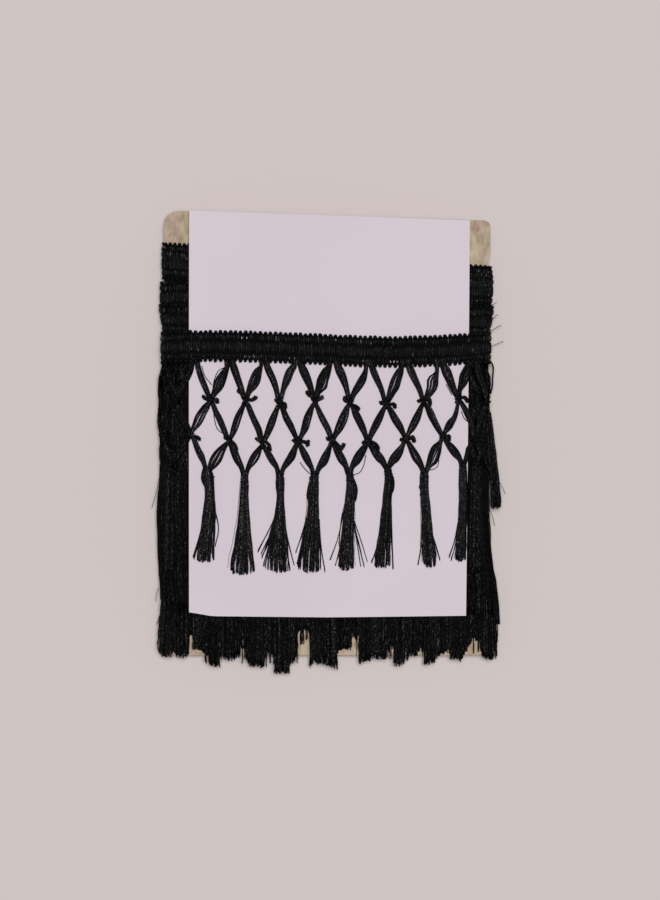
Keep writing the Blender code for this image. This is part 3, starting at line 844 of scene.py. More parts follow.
def board_material():
    made, nodes, links, shader, coordinates = principled("board", 0.92)
    flecks = noise(nodes, links, coordinates.outputs["Object"], 420.0, 6.0, (1.0, 0.45, 1.0))
    clouds = noise(nodes, links, coordinates.outputs["Object"], 28.0, 3.0)
    mixed = nodes.new("ShaderNodeMath")
    mixed.operation = "MULTIPLY_ADD"
    mixed.inputs[1].default_value = 0.5
    links.new(clouds, mixed.inputs[0])
    links.new(flecks, mixed.inputs[2])
    colour = ramp(
        nodes,
        links,
        mixed.outputs["Value"],
        (0.5, (0.33, 0.245, 0.175)),
        (0.75, (0.47, 0.375, 0.29)),
        (1.0, (0.6, 0.49, 0.4)),
    )
    pulp = noise(nodes, links, coordinates.outputs["Object"], 190.0, 3.0, (1.0, 0.6, 1.0))
    tint = ramp(nodes, links, pulp, (0.38, (1.0, 0.9, 0.95)), (0.62, (0.95, 0.99, 0.86)))
    mixed_colour = nodes.new("ShaderNodeMix")
    mixed_colour.data_type = "RGBA"
    mixed_colour.blend_type = "MULTIPLY"
    mixed_colour.inputs["Factor"].default_value = 1.0
    links.new(colour, mixed_colour.inputs["A"])
    links.new(tint, mixed_colour.inputs["B"])
    links.new(mixed_colour.outputs["Result"], shader.inputs["Base Color"])
    bump(nodes, links, flecks, shader, 0.25, 0.0002)
    return made


def paper_material():
    made, nodes, links, shader, coordinates = principled("paper", 0.7)
    clouds = noise(nodes, links, coordinates.outputs["Object"], 9.0, 2.0)
    grain = noise(nodes, links, coordinates.outputs["Object"], 700.0, 4.0)
    colour = ramp(nodes, links, clouds, (0.3, (0.659, 0.577, 0.64)), (0.7, (0.692, 0.61, 0.673)))
    links.new(colour, shader.inputs["Base Color"])
    bump(nodes, links, grain, shader, 0.08, 0.0001)
    return made


def cloth_material():
    """The woven ground of the headings, under their ribs."""
    made, nodes, links, shader, coordinates = principled("heading_ground", 0.8)
    weave = nodes.new("ShaderNodeTexWave")
    weave.inputs["Scale"].default_value = 400.0
    weave.inputs["Distortion"].default_value = 1.5
    links.new(coordinates.outputs["Object"], weave.inputs["Vector"])
    dark, light = (0.001, 0.001, 0.0011), (0.004, 0.0038, 0.004)
    colour = ramp(nodes, links, weave.outputs["Fac"], (0.0, dark), (1.0, light))
    links.new(colour, shader.inputs["Base Color"])
    shader.inputs["Specular IOR Level"].default_value = 0.05
    bump(nodes, links, weave.outputs["Fac"], shader, 0.6, 0.0002)
    return made


# The way round the card


def round_section(left, right, flat, low, high, spacing=2.0):
    """Points round the card from its left edge, over the front first: x and z."""
    share = 2 / 2.6
    angles = [math.pi / 2 * (step + 1) / 10 for step in range(10)]

    def corner(edge, height, angle):
        side = math.copysign(flat, edge)
        across = side + (edge - side) * math.sin(angle) ** share
        return across, MIDDLE + (height - MIDDLE) * max(math.cos(angle), 0.0) ** share

    flats = np.linspace(-flat, flat, int(2 * flat / spacing))
    points = [corner(left, high, angle) for angle in angles[::-1]]
    points += [(x, high) for x in flats]
    points += [corner(right, high, angle) for angle in angles]
    points += [corner(right, low, angle) for angle in angles[-2::-1]]
    points += [(x, low) for x in flats[::-1]]
    points += [corner(left, low, angle) for angle in angles[:-1]]
    return np.array(points)


def even_ring(points, count):
    """The closed ring of x and z at even steps, the direction that faces out at each, and its length."""
    points = np.vstack((points, points[:1]))
    distance = np.concatenate(([0.0], np.cumsum(np.linalg.norm(np.diff(points, axis=0), axis=1))))
    even = np.linspace(0, distance[-1], count + 1)
    places = np.stack([np.interp(even, distance, points[:, axis]) for axis in range(2)], axis=1)
    ring = places[:-1]
    ahead = sum(np.roll(ring, -step, axis=0) - np.roll(ring, step, axis=0) for step in (1, 2, 3, 4))
    out = np.stack((-ahead[:, 1], ahead[:, 0]), axis=1)
    out /= np.linalg.norm(out, axis=1)[:, None]
    return places, np.vstack((out, out[:1])), distance[-1]


class Wrap:
    """Places on rings round the card, by millimetres along them, y, and millimetres out of them."""

    count = 480
    step = 2.0

    def __init__(self, section_at):
        self.levels = np.arange(-92.0, 106.1, self.step)
        rings = [even_ring(section_at(level), self.count) for level in self.levels]
        self.places = np.array([ring[0] for ring in rings])
        self.outward = np.array([ring[1] for ring in rings])
        self.middle = len(rings) // 2
        self.length = rings[self.middle][2]

    def at(self, along, y, out):
        along, y, out = np.broadcast_arrays(np.asarray(along, float), y, out)
        column = along / self.length % 1.0 * self.count
        row = np.clip((y - self.levels[0]) / self.step, 0, len(self.levels) - 1.001)
        left, low = column.astype(int), row.astype(int)
        right, high = (column - left)[..., None], (row - low)[..., None]

        def blend(grid):
            below = grid[low, left] * (1 - right) + grid[low, left + 1] * right
            above = grid[low + 1, left] * (1 - right) + grid[low + 1, left + 1] * right
            return below * (1 - high) + above * high

        spot, outward = blend(self.places), blend(self.outward)
        x = spot[..., 0] + outward[..., 0] * out
        z = spot[..., 1] + outward[..., 1] * out
        return np.stack((x, y, np.maximum(z, LOWEST)), axis=-1)

    def facing(self, along):
        """From 1 on the front through 0 at the sides to -1 on the back."""
        column = np.asarray(along, float) / self.length % 1.0 * self.count
        return self.outward[self.middle, column.astype(int), 1]

    def across(self, along):
        column = np.asarray(along, float) / self.length % 1.0 * self.count
        return np.interp(column, np.arange(self.count + 1), self.places[self.middle, :, 0])

    def along(self, x):
        """How far along the front x is."""
        row = self.places[self.middle, :, 0]
        front = row[: np.argmax(row) + 1]
        return float(np.interp(x, front, np.arange(len(front))) / self.count * self.length)


def turns_wrap():
    """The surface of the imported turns."""
    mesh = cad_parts["wound_turns"].data
    points = [Vector(np.array(corner.co) / METRES - SHIFT) for corner in mesh.vertices]
    tree = BVHTree.FromPolygons(points, [tuple(face.vertices) for face in mesh.polygons])
    outer = round_section(-99.0, 95.0, 70.0, -8.0, 26.0)

    def section_at(level):
        level = min(max(level, TURNS_FOOT), TURNS_TOP)
        found = [tree.find_nearest(Vector((x, level, z)))[0] for x, z in outer]
        return np.array([(spot.x, spot.z) for spot in found])

    return Wrap(section_at)


# Headings


def band_spots(wrap):
    """Places on the front heading, by millimetres round the card, up from its middle, and out."""

    def spot(along, up, out):
        facing = wrap.facing(along)
        share = np.where(facing < -0.5, 0.84, 0.6 + 0.4 * np.abs(facing))
        middle = at(BAND_LINE, wrap.across(along))
        return wrap.at(along, middle + np.asarray(up), np.asarray(out) * share)

    return spot


def upper_spots(wrap, left, right, rise):
    """Places on a heading of an under turn, whose upper edge runs from left to right."""

    def spot(along, up, out):
        share = (wrap.across(along) - CARD_LEFT) / (CARD_RIGHT - CARD_LEFT)
        y = left + (right - left) * share - BAND_HALF + np.asarray(up)
        facing = wrap.facing(along)
        out = np.asarray(out) * (0.6 + 0.4 * np.abs(facing))
        deep = np.where(facing < -0.5, 2.15, np.where(facing < 0.5, 1.25, 1.75))
        return wrap.at(along, y, out - deep + rise + 0.05 * np.asarray(up))

    return spot


def heading_yarns(yarns, spot, length, chance, hidden=None, holes=()):
    """The ribs, edge cords and picots of one heading. hidden is a stretch that nothing shows of."""
    count = round(length / PICOT_PITCH)
    pitch = length / count

    def shown(along):
        return hidden is None or not hidden[0] < along % length < hidden[1]

    for number in range(count):
        along = number * pitch
        if not shown(along):
            continue
        for edge in (1, -1):
            reach = chance.uniform(0.75, 1.2)
            width = chance.uniform(0.5, 0.66)
            skew = chance.uniform(-0.25, 0.25)
            angles = np.linspace(0, math.pi, 7)
            arc = spot(
                along - np.cos(angles) * width + skew * np.sin(angles),
                edge * (6.9 + 1.1 * reach * np.sin(angles)),
                0.85 + 0.3 * np.sin(angles),
            )
            yarns.add(arc, 0.58, 5, chance.uniform(0.0, 0.5))
        for part in range(2):
            near = along + (part + 0.25) * pitch / 2
            t = np.array((0, 0.3, 0.65, 1))
            lean = chance.uniform(-0.2, 0.2)
            glint = chance.uniform(0.95, 1.15) if chance.random() < 0.2 else chance.uniform(0.5, 0.95)
            if not near_hole(holes, spot, near, 1):
                bow = 0.95 + 0.6 * np.sin(math.pi * t)
                yarns.add(spot(near + lean * t, 3.3 + 3.3 * t, bow), (0.3, 0.5, 0.55, 0.35), 4, glint)
            if not near_hole(holes, spot, near, -1):
                bow = 0.95 + 0.4 * np.sin(math.pi * t)
                tone = chance.uniform(0.55, 1.0)
                yarns.add(spot(near + lean * t, -3.6 - 2.7 * t, bow), (0.3, 0.5, 0.42, 0.35), 4, tone)
        for part in range(3):
            near = along + (part + 0.5) * pitch / 3
            up = np.array((-2.95, -1.7, -0.2, 1.4, 2.6))
            out = chance.uniform(1.1, 1.5) + 0.35 * (1 - (up / 3.2) ** 2)
            yarns.add(spot(near, up, out), 0.36, 4, chance.uniform(0.45, 0.92), 0.785)
    for up, out, radius in ((6.85, 0.8, 0.36), (3.0, 0.75, 0.3), (-3.3, 0.75, 0.3), (-6.55, 0.8, 0.4)):
        steps = np.arange(int(length / 0.9) + 1) * 0.9
        visible = np.array([shown(step) for step in steps])
        for stretch in np.split(steps, np.flatnonzero(np.diff(visible)) + 1):
            if len(stretch) > 3 and shown(stretch[1]):
                yarns.add(spot(stretch, up + 0.1 * np.sin(stretch * 1.9), out), radius, 4, 0.1)


def near_hole(holes, spot, along, side):
    if not holes:
        return False
    place_x = spot(along, 0.0, 0.0)
    clear = any(side == row[1] and abs(row[0] - place_x[0]) < HOLE_CLEAR for row in holes)
    return place_x[2] > MIDDLE and clear


def heading_ground(name, spot, length, paint, holes=()):
    """The flat weave under a heading's ribs, open at its pinholes."""
    columns = round(length / (0.44 if holes else 0.66))
    ups = (-7.0, -6.9, -5.7, -4.5, 0.0, 4.1, 5.3, 6.9, 7.0)
    outs = (0.3, 0.7, 0.85, 1.05, 1.25, 1.05, 0.85, 0.7, 0.3)
    along = np.arange(columns) * length / columns
    rows = np.array([spot(along, up, out) for up, out in zip(ups, outs)])
    faces = []
    for row in range(len(ups) - 1):
        for column in range(columns):
            ahead = (column + 1) % columns
            middle = (rows[row, column] + rows[row, ahead]) / 2
            side = {2: -1, 5: 1}.get(row)
            pierced = any(side == hole[1] and abs(hole[0] - middle[0]) < HOLE_HALF for hole in holes)
            if middle[2] > MIDDLE and pierced:
                continue
            a, b = row * columns + column, row * columns + ahead
            faces.append((a, b, b + columns, a + columns))
    return new_piece(name, rows.reshape(-1, 3), faces, paint)


# Bundles of yarn


def over_front(points, lift):
    """Puts flat points over the front, each at its lift above what it lies on."""
    lift = np.broadcast_to(lift, len(points))
    return np.array([(x, y, front_surface(x, y) + up) for (x, y), up in zip(points, lift)])


def over_turns(wrap, depth):
    """Puts flat points, of millimetres along and y, over the turns."""

    def put(points, lift):
        points = np.asarray(points)
        return wrap.at(points[:, 0], points[:, 1], np.asarray(lift) + depth)

    return put


def across_of(path):
    along = np.gradient(path, axis=0)
    side = np.stack((-along[:, 1], along[:, 0]), axis=1)
    return side / np.linalg.norm(side, axis=1)[:, None]


def bundle(yarns, put, spine, half, chance, number, partings=(), radius=0.33, points=14, crown=0.7):
    """A flat bundle of yarns along a spine of rough points, whose half width is given at each of them."""
    both = smooth(np.column_stack((spine, half)), points)
    path, half = both[:, :2], np.maximum(both[:, 2], 0.5)
    side = across_of(path)
    t = np.linspace(0, 1, points)
    pinch = np.clip(1 - half / half.max(), 0, 1)
    for index in range(number):
        share = min(max(-1 + 2 * index / (number - 1) + chance.uniform(-0.1, 0.1), -1.0), 1.0)
        aside = 0.0
        for low, high in partings:
            if low - 0.12 < share < high + 0.12:
                share, aside = (low, -0.08) if share < (low + high) / 2 else (high, 0.08)
        sway = chance.uniform(-0.07, 0.07)
        drift = sway * np.sin(math.pi * t * chance.uniform(0.8, 1.8) + chance.uniform(0, 6))
        offset = (share * (1 - 0.3 / half) + drift) * half + aside * np.sin(math.pi * t) ** 2
        lift = 0.35 + crown * (1 - share**2) + pinch * (0.2 + 0.8 * (index % 2)) + chance.uniform(0, 0.3)
        size = radius * (1 - 0.12 * pinch) * chance.uniform(0.85, 1.1)
        # The outer yarns get a darker tone: painted shade at the bundle's rounded sides.
        tone = chance.uniform(-0.2, 1.1) - 0.4 * abs(share) ** 3
        yarns.add(put(path + side * offset[:, None], lift), size, 4, tone)
    for _ in range(3):
        share = chance.uniform(-0.7, 0.7)
        if any(low - 0.1 < share < high + 0.1 for low, high in partings):
            continue
        swing = share * np.cos(math.pi * t * chance.uniform(0.2, 0.7))
        spot = path + side * (swing * half)[:, None]
        yarns.add(put(spot, 0.7 + crown + chance.uniform(0, 0.2)), 0.24, 3, chance.uniform(0.5, 1.2))


def knot(yarns, put, x, y, chance, size=1.0):
    """Crossed and bound yarns: a short upright barrel with one or two turns round it."""
    t = np.linspace(-1, 1, 6)
    for index in range(6):
        share = -1 + 2 * (index + 0.5) / 6
        cross = 0.35 * t * chance.uniform(-1, 1)
        spots = np.stack((x + share * 1.1 * size * (0.8 + 0.3 * t**2) + cross, y + t * 2.0 * size), axis=1)
        lift = 0.6 + 1.1 * math.sqrt(1 - share**2) * (1 - 0.4 * t**2)
        yarns.add(put(spots, lift), 0.4, 4, chance.uniform(0.0, 0.7))
    turns = chance.choice((1, 2, 2))
    angles = np.linspace(-0.15 * math.pi, 1.15 * math.pi, 10)
    for turn in range(turns):
        middle = y + (turn - (turns - 1) / 2) * 1.1 * size + chance.uniform(-0.4, 0.4)
        tilt = chance.uniform(-0.9, 0.9)
        wide = chance.uniform(1.15, 1.5) * size
        ring = np.stack((x + wide * np.cos(angles), middle + tilt * np.cos(angles)), axis=1)
        lift = 0.55 + 1.55 * size * np.maximum(np.sin(angles), -0.3)
        yarns.add(put(ring, lift), chance.uniform(0.38, 0.5), 5, chance.uniform(0.1, 0.9))


def stub(yarns, points, chance, radius=1.15, lift=1.2):
    """A cut end of several yarns, spreading to a blunt tip."""
    count = 4 + 2 * len(points)
    path = over_front(smooth([place(*point) for point in points], count), lift)
    spread = np.linspace(0.5, 1.1, count)[:, None]
    for index in range(6):
        angle = math.tau * index / 6 + chance.uniform(0, 0.6)
        shift = np.array((math.cos(angle), math.sin(angle), 0.0)) * radius * 0.62
        over = np.array((0.0, 0.0, math.sin(angle + 1.0) * radius * 0.45))
        shown = count - chance.choice((0, 0, 1))
        yarn = (path + shift * spread + over)[:shown]
        yarns.add(yarn, radius * chance.uniform(0.38, 0.52), 4, chance.uniform(0.0, 0.9))


def tassel(yarns, put, levels, lefts, rights, foot, chance, number, deep=3.0, partings=()):
    """Yarns gathered into a neck and spread to a ragged foot, in millimetres. A parting is a place from
    -1 at the left to 1, half its width in the same measure, and the height that it starts at."""
    top = levels[0]
    clumps = [(chance.uniform(-1, 1), abs(chance.gauss(0, 0.7))) for _ in range(14)]
    count = 22
    levels, lefts, rights = (np.array(column)[::-1] for column in (levels, lefts, rights))
    for index in range(number):
        share = -1 + 2 * (index + chance.uniform(0.0, 1.0)) / number
        fuzz = chance.random() < 0.14
        share = math.copysign(abs(share) ** 1.1, share) * (chance.uniform(1.1, 1.3) if fuzz else 1.0)
        clump, short = min(clumps, key=lambda centre: abs(centre[0] - share))
        end = foot + short + 1.2 * abs(share) ** 3 + abs(chance.gauss(0, 0.5)) + chance.choice(SHORT_ENDS)
        rows = np.linspace(top, end, count)
        left = np.interp(rows, levels, lefts)
        right = np.interp(rows, levels, rights)
        down = np.clip((rows - (top * 0.45 + foot * 0.55)) / (foot - (top * 0.45 + foot * 0.55)), 0, 1)
        gathered = share + (clump - share) * 0.25 * down**3
        loose = chance.random() < 0.12
        for middle, wide, start in () if loose else partings:
            opened = wide * np.clip((start - rows) / (start - foot), 0, 1) ** 0.4
            outside = middle + math.copysign(1.0, share - middle) * opened
            gathered = np.where(np.abs(gathered - middle) < opened, outside, gathered)
        wave = 0.14 * np.sin(rows * 0.5 + chance.uniform(0, 6))
        wave = wave + 0.06 * np.sin(rows * 1.9 + chance.uniform(0, 6))
        x = (left + right) / 2 + gathered * (right - left) / 2 * 0.97 + wave * (0.5 + down)
        level = chance.uniform(0, 1)
        body = max(1 - share**2, 0.0) ** 0.5
        ripple = 0.12 * np.sin(rows * 1.3 + chance.uniform(0, 6))
        lift = 0.35 + level * body * (deep - 0.4 * deep * down) + ripple
        size = np.full(count, 0.15 if fuzz else chance.uniform(0.22, 0.3)) * (1 - 0.25 * down)
        tone = chance.uniform(0.35, 1.2)
        spots = put(np.column_stack((x, rows)), np.maximum(lift, 0.3))
        yarns.add(spots, size, 3, tone, chance.uniform(0, 2))
    for wrap_number in range(3):
        level = top - 1.6 - wrap_number * 1.7 + chance.uniform(-0.4, 0.4)
        left, right = np.interp(level, levels, lefts), np.interp(level, levels, rights)
        angles = np.linspace(-0.1 * math.pi, 1.1 * math.pi, 9)
        wide = (right - left) / 2 * 1.03
        tilt = chance.uniform(-0.8, 0.8)
        ring = np.stack(((left + right) / 2 + wide * np.cos(angles), level + tilt * np.cos(angles)), axis=1)
        lift = 0.6 + (deep - 0.5) * np.maximum(np.sin(angles), -0.15)
        yarns.add(put(ring, lift), chance.uniform(0.32, 0.45), 5, chance.uniform(0.0, 0.9))


# The front turn


def net_rows():
    return (
        [(x, 361.0) for x in HEADING_TIES],
        list(UPPER_KNOTS),
        list(LOWER_KNOTS),
        [(row[0], row[1]) for row in TASSELS],
    )


def make_net(paint, shaded_paint):
    """The net of the front turn: over the paper, and beside it."""
    chance = random.Random(21)
    front, beside = Yarns(), Yarns()
    rows = net_rows()
    for (row, index, side), sides in STRANDS.items():
        start = rows[row][index]
        end = rows[row + 1][index + ((side - 1) // 2 if row == 1 else (side + 1) // 2)]
        if row == 0:
            top = (start[0] + side * 2.4, start[1] - 1.5, 2.6)
        else:
            top = (start[0] + side * 1.2, start[1] + 2.0, 1.9)
        foot = (end[0] - side * 1.3, end[1] + (2.5 if row == 2 else -2.0), 2.1)
        points = [top, *(((left + right) / 2, y, (right - left) / 2) for y, left, right in sides), foot]
        yarns = front if PAPER_SIDES[0] < (start[0] + end[0]) / 2 < PAPER_SIDES[1] else beside
        spine = [place(x, y) for x, y, _ in points]
        half = [wide * PIXEL + 0.17 for _, _, wide in points]
        number = round(3 + 1.15 * max(half) * 2 / PIXEL)
        bundle(yarns, over_front, spine, half, chance, number, PARTED.get((row, index, side), ()))
    for x, y in rows[1] + rows[2]:
        yarns = front if PAPER_SIDES[0] < x < PAPER_SIDES[1] else beside
        knot(yarns, over_front, *place(x, y), chance, 1.25)
    for points in STUBS:
        stub(front, points, chance)
    for points in LOOSE_YARNS:
        front.add(over_front(smooth([place(*point) for point in points], 12), 0.8), 0.22, 4, 0.2)
    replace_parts(front.make("net_yarns", paint), "front_net")
    # The strands beside the paper take the darker copy of the yarn: painted shade.
    beside.make("net_yarns_beside", shaded_paint)


def make_tassels(paint, shaded_paint):
    for number, ((x, y, lowest), sides) in enumerate(zip(TASSELS, TASSEL_SIDES)):
        chance = random.Random(300 + number)
        yarns = Yarns()
        levels = [place(0, y - 1)[1], *(place(0, level)[1] for level in TASSEL_LEVELS)]
        lefts = [place(x - 3.0, 0)[0], *(place(left - 0.3, 0)[0] for left, _ in sides)]
        rights = [place(x + 3.0, 0)[0], *(place(right + 0.3, 0)[0] for _, right in sides)]
        count = int(60 + 2.0 * (sides[-1][1] - sides[-1][0]))
        left, right = sides[-1]
        partings = [
            ((2 * middle - left - right) / (right - left), (wide + 0.9) / (right - left), place(0, start)[1])
            for middle, wide, start in SKIRT_PARTINGS.get(number, ())
        ]
        tassel(yarns, over_front, levels, lefts, rights, place(0, lowest)[1], chance, count, 3.0, partings)
        # The two outer tassels, beside the paper, take the darker copy of the yarn: painted shade.
        made = yarns.make(f"tassel_yarns_{number}", paint if 0 < number < len(TASSELS) - 1 else shaded_paint)
        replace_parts(made, f"tassel_{number}")


def make_strays(paint):
    chance = random.Random(9)
    yarns = Yarns()
    for points in STRAYS:
        for _ in range(chance.choice((2, 3, 4))):
            moved = [(x + chance.uniform(-0.4, 0.4), y + chance.uniform(-1.5, 1.5)) for x, y in points]
            path = smooth([place(*point) for point in moved], 12)
            yarns.add(over_front(path, np.linspace(1.2, 0.25, 12)), 0.22, 4, 0.2)
    for points in FOLDS:
        stub(yarns, points, chance, 0.75, 1.3)
    for height, radius, points in EDGE_HAIRS:
        path = smooth([place(*point) for point in points], 12)
        drop = np.linspace(0, -1.5 if radius < 0.3 else 0.0, 12)
        yarns.add(np.column_stack((path, height + drop)), radius, 4, 0.4)
    return yarns.make("loose_yarns", paint)


# The turns behind


def make_core(wrap, paint):
    """The dark mass under the yarns of the turns."""
    along = np.linspace(0, wrap.length, 161)[:-1]
    slope = CORE_SLOPE * (wrap.across(along) - CARD_LEFT) / (CARD_RIGHT - CARD_LEFT)
    rows = []
    for down in np.linspace(0, 1, 44):
        ring = wrap.at(along, (103.5 - slope) * (1 - down) - 90.5 * down, -CORE_DEPTH)
        beside = np.abs(ring[:, 2] - MIDDLE) < 1.6
        edge = np.where(ring[:, 0] > 0, CARD_RIGHT + 0.4, CARD_LEFT - 0.4)
        further = np.abs(ring[:, 0]) > np.abs(edge)
        ring[:, 0] = np.where(beside & ~further, edge, ring[:, 0])
        rows.append(ring)
    for inward in (0.5, 0.98):
        for end, ring in ((0, rows[0]), (len(rows), rows[-1])):
            middle = np.array((0.0, 0.0, MIDDLE))
            rows.insert(end and len(rows), ring + (middle - ring) * (inward, 0.0, inward))
    faces = grid_faces(len(rows), len(along), closed=True)
    made = new_piece("turns_core", np.vstack(rows), faces, paint)
    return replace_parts(made, "wound_turns")


# Each under turn's net: its knots' shift in pitches, its height above the front's, and how deep it lies
UNDER_NETS = ((0.0, 0.0, -1.05), (0.45, -1.5, -1.75), (0.75, 2.0, -2.1))


def hidden_front(wrap):
    return wrap.along(-69.0), wrap.along(67.0)


def make_turn_nets(wrap, paint):
    """The net of each under turn, and the rest of the front turn's, round the sides and the back."""
    chance = random.Random(44)
    hidden = hidden_front(wrap)
    first = wrap.along(place(HEADING_TIES[0], 0)[0])
    last = wrap.along(place(HEADING_TIES[-1], 0)[0])
    pitch = (wrap.length - last + first) / 12
    made = []
    for layer, (phase, drop, depth) in enumerate(UNDER_NETS):
        yarns = Yarns()
        put = over_turns(wrap, depth)
        middle = [last + (index + phase) * pitch for index in range(0, 20 if layer else 13)]

        def put_knot(along, row):
            return along + chance.uniform(-1.2, 1.2), drop + NET_ROWS[row] + chance.uniform(-1.5, 1.5)

        grid = []
        for row in range(4):
            shift = 0.5 * pitch if row % 2 else 0.0
            grid.append([put_knot(along + shift, row) for along in middle])
        for row in range(3):
            for index, start in enumerate(grid[row]):
                for side in (0, 1):
                    other = index - 1 + side if row % 2 == 0 else index + side
                    if not 0 <= other < len(middle):
                        continue
                    end = grid[row + 1][other]
                    mean = (start[0] + end[0]) / 2 % wrap.length
                    in_front = layer == 0 and row < 2 and first - 3.0 < mean < hidden[0]
                    if hidden[0] < mean < hidden[1] or in_front:
                        continue
                    halfway = start[0] * 0.5 + end[0] * 0.5 + chance.uniform(-0.6, 0.6)
                    spine = [start, (halfway, (start[1] + end[1]) / 2), end]
                    wide = chance.uniform(1.45, 2.1)
                    number = 6 if layer else 7
                    bundle(yarns, put, spine, (0.9, wide, 0.9), chance, number, (), 0.34, 7, 0.5)
                if row and not hidden[0] < start[0] % wrap.length < hidden[1]:
                    knot(yarns, put, *start, chance, 0.9)
        if layer == 0:
            for along, y in grid[3]:
                if hidden[0] - 4.0 < along % wrap.length < hidden[1] + 4.0:
                    continue
                levels = (y, y - 6, y - 18, y - 30, y - 44, y - 60)
                neck, foot = chance.uniform(1.9, 2.3), chance.uniform(4.0, 7.0)
                half = (1.3, neck, neck + 0.2, neck + 0.2 * foot, neck + 0.4 * foot, neck + 0.55 * foot)
                lean = chance.uniform(-1.5, 1.5)
                lefts = [along - wide + lean * step / 5 for step, wide in enumerate(half)]
                rights = [along + wide + lean * step / 5 for step, wide in enumerate(half)]
                length = chance.uniform(48, 54)
                tassel(yarns, over_turns(wrap, -1.9), levels, lefts, rights, y - length, chance, 34, 1.5)
        made.append(yarns.make(f"turn_net_{layer}", paint))
    return made


def make_turn_yarns(wrap, paint):
    """The tassels of the under turns, run together into one mass below the nets."""
    chance = random.Random(55)
    hidden = hidden_front(wrap)
    for name, spacing, depth, top, foot in (
        ("turn_yarns_a", 0.48, -0.75, (26.0, 42.0), (-90.0, -92.0)),
        ("turn_yarns_b", 0.62, -0.3, (-12.0, 2.0), (-66.0, -92.0)),
    ):
        yarns = Yarns()
        along = 0.0
        left = 0
        while along < wrap.length:
            if left <= 0:
                left = chance.randint(5, 12)
                clump = chance.uniform(-0.45, 0.35)
                clump_foot = chance.uniform(*foot)
                clump_top = chance.uniform(*top)
                sway = chance.uniform(0.2, 1.1)
                phase = chance.uniform(0, 6)
                slope = chance.uniform(-0.03, 0.03)
            left -= 1
            along += spacing * chance.uniform(0.75, 1.25)
            if hidden[0] < along < hidden[1]:
                continue
            y = np.linspace(clump_top + chance.uniform(-1, 1), clump_foot + chance.uniform(-1.5, 1.5), 20)
            swing = sway * np.sin(y / 9.0 + phase) + 0.16 * np.sin(y / 1.7 + chance.uniform(0, 6))
            swing = swing + slope * (y + 30)
            out = depth + clump + 0.16 * np.sin(y / 2.3 + chance.uniform(0, 6)) + chance.uniform(-0.25, 0.2)
            # One yarn in twenty gets the lightest tone: a painted glint.
            tone = 1.1 if chance.random() < 0.05 else chance.uniform(0.0, 0.9)
            spots = wrap.at(along + swing, y, np.minimum(out, 0.1))
            yarns.add(spots, chance.uniform(0.24, 0.36), 3, tone, chance.uniform(0, 2))
        yarns.make(name, paint)


def make_lower_fringe(paint):
    """Cut ends of the under turns below the sheet, in ragged clumps over the card."""
    chance = random.Random(66)
    yarns = Yarns()

    def drop(pixel_x, pixel_foot, ragged, thin=1.0):
        side = np.clip((176 - pixel_x) / 19, 0, 1) * 4.5 - np.clip((pixel_x - 486) / 12, 0, 1) * 1.5
        root, end = place(pixel_x + side, 0)[0], place(pixel_x, 0)[0]
        foot = place(0, pixel_foot)[1] + ragged
        t = np.linspace(0, 1, 14)
        y = FRINGE_TOP + (foot - FRINGE_TOP) * t
        x = root + (end - root) * t + 0.14 * np.sin(y * 0.9 + chance.uniform(0, 6))
        x = x + 0.2 * t * np.sin(y * 0.35 + chance.uniform(0, 6))
        high = np.interp(y, (-122.0, -112.0, -100.0, -90.0, -80.0), (9.3, 10.0, 10.9, 11.7, 12.3))
        low = 4.0 if not CARD_LEFT < end < CARD_RIGHT + 1.0 else CARD_HIGH + 0.35
        level = chance.uniform(0, 1)
        z = low + (high - low) * level + 0.1 * np.sin(y * 1.4 + chance.uniform(0, 6))
        tone = chance.uniform(0.1, 1.2)
        yarns.add(np.column_stack((x, y, z)), (0.31 - 0.07 * t) * thin, 3, tone, chance.uniform(0, 2))

    pixel_x = float(FRINGE_FOOT[0][0])
    while pixel_x < FRINGE_FOOT[-1][0]:
        foot = at(FRINGE_FOOT, pixel_x)
        tuft = abs(chance.gauss(0, 1.1)) - 2.0
        for _ in range(3):
            ragged = tuft + abs(chance.gauss(0, 0.5))
            ragged += chance.uniform(1.0, 4.0) if chance.random() < 0.12 else 0.0
            drop(pixel_x + chance.uniform(-0.2, 0.2), foot, ragged)
        pixel_x += 0.78
    for pixel_x, foot, count in FRINGE_WISPS:
        for _ in range(count):
            drop(pixel_x + chance.gauss(0, 0.5), foot, abs(chance.gauss(0, 1.0)), 0.75)
    made = yarns.make("lower_fringe_yarns", paint)
    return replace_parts(made, "lower_fringe")


def make_back_fringe(paint):
    chance = random.Random(67)
    yarns = Yarns()
    x = CARD_LEFT - 0.6
    while x < CARD_RIGHT + 0.8:
        clump = chance.gauss(0, 1.8)
        for _ in range(chance.randint(5, 9)):
            for layer in range(3):
                low = -115.2 if BACK_WISP[0] < x < BACK_WISP[1] else -112.4
                foot = max(-110.0 + clump + chance.gauss(0, 1.0), low)
                t = np.linspace(0, 1, 8)
                lean = chance.uniform(-0.9, 0.9)
                height = 0.35 + (layer + chance.uniform(0, 0.8)) * 1.35 * (1 - 0.55 * t)
                across = x + chance.uniform(-0.3, 0.3) + lean * t**2
                path = np.column_stack((across, BACK_TOP + (foot - BACK_TOP) * t, height))
                yarns.add(path, 0.3, 3, chance.uniform(0, 0.95), chance.uniform(0, 2))
            x += 0.62
    made = yarns.make("back_fringe_yarns", paint)
    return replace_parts(made, "back_fringe")


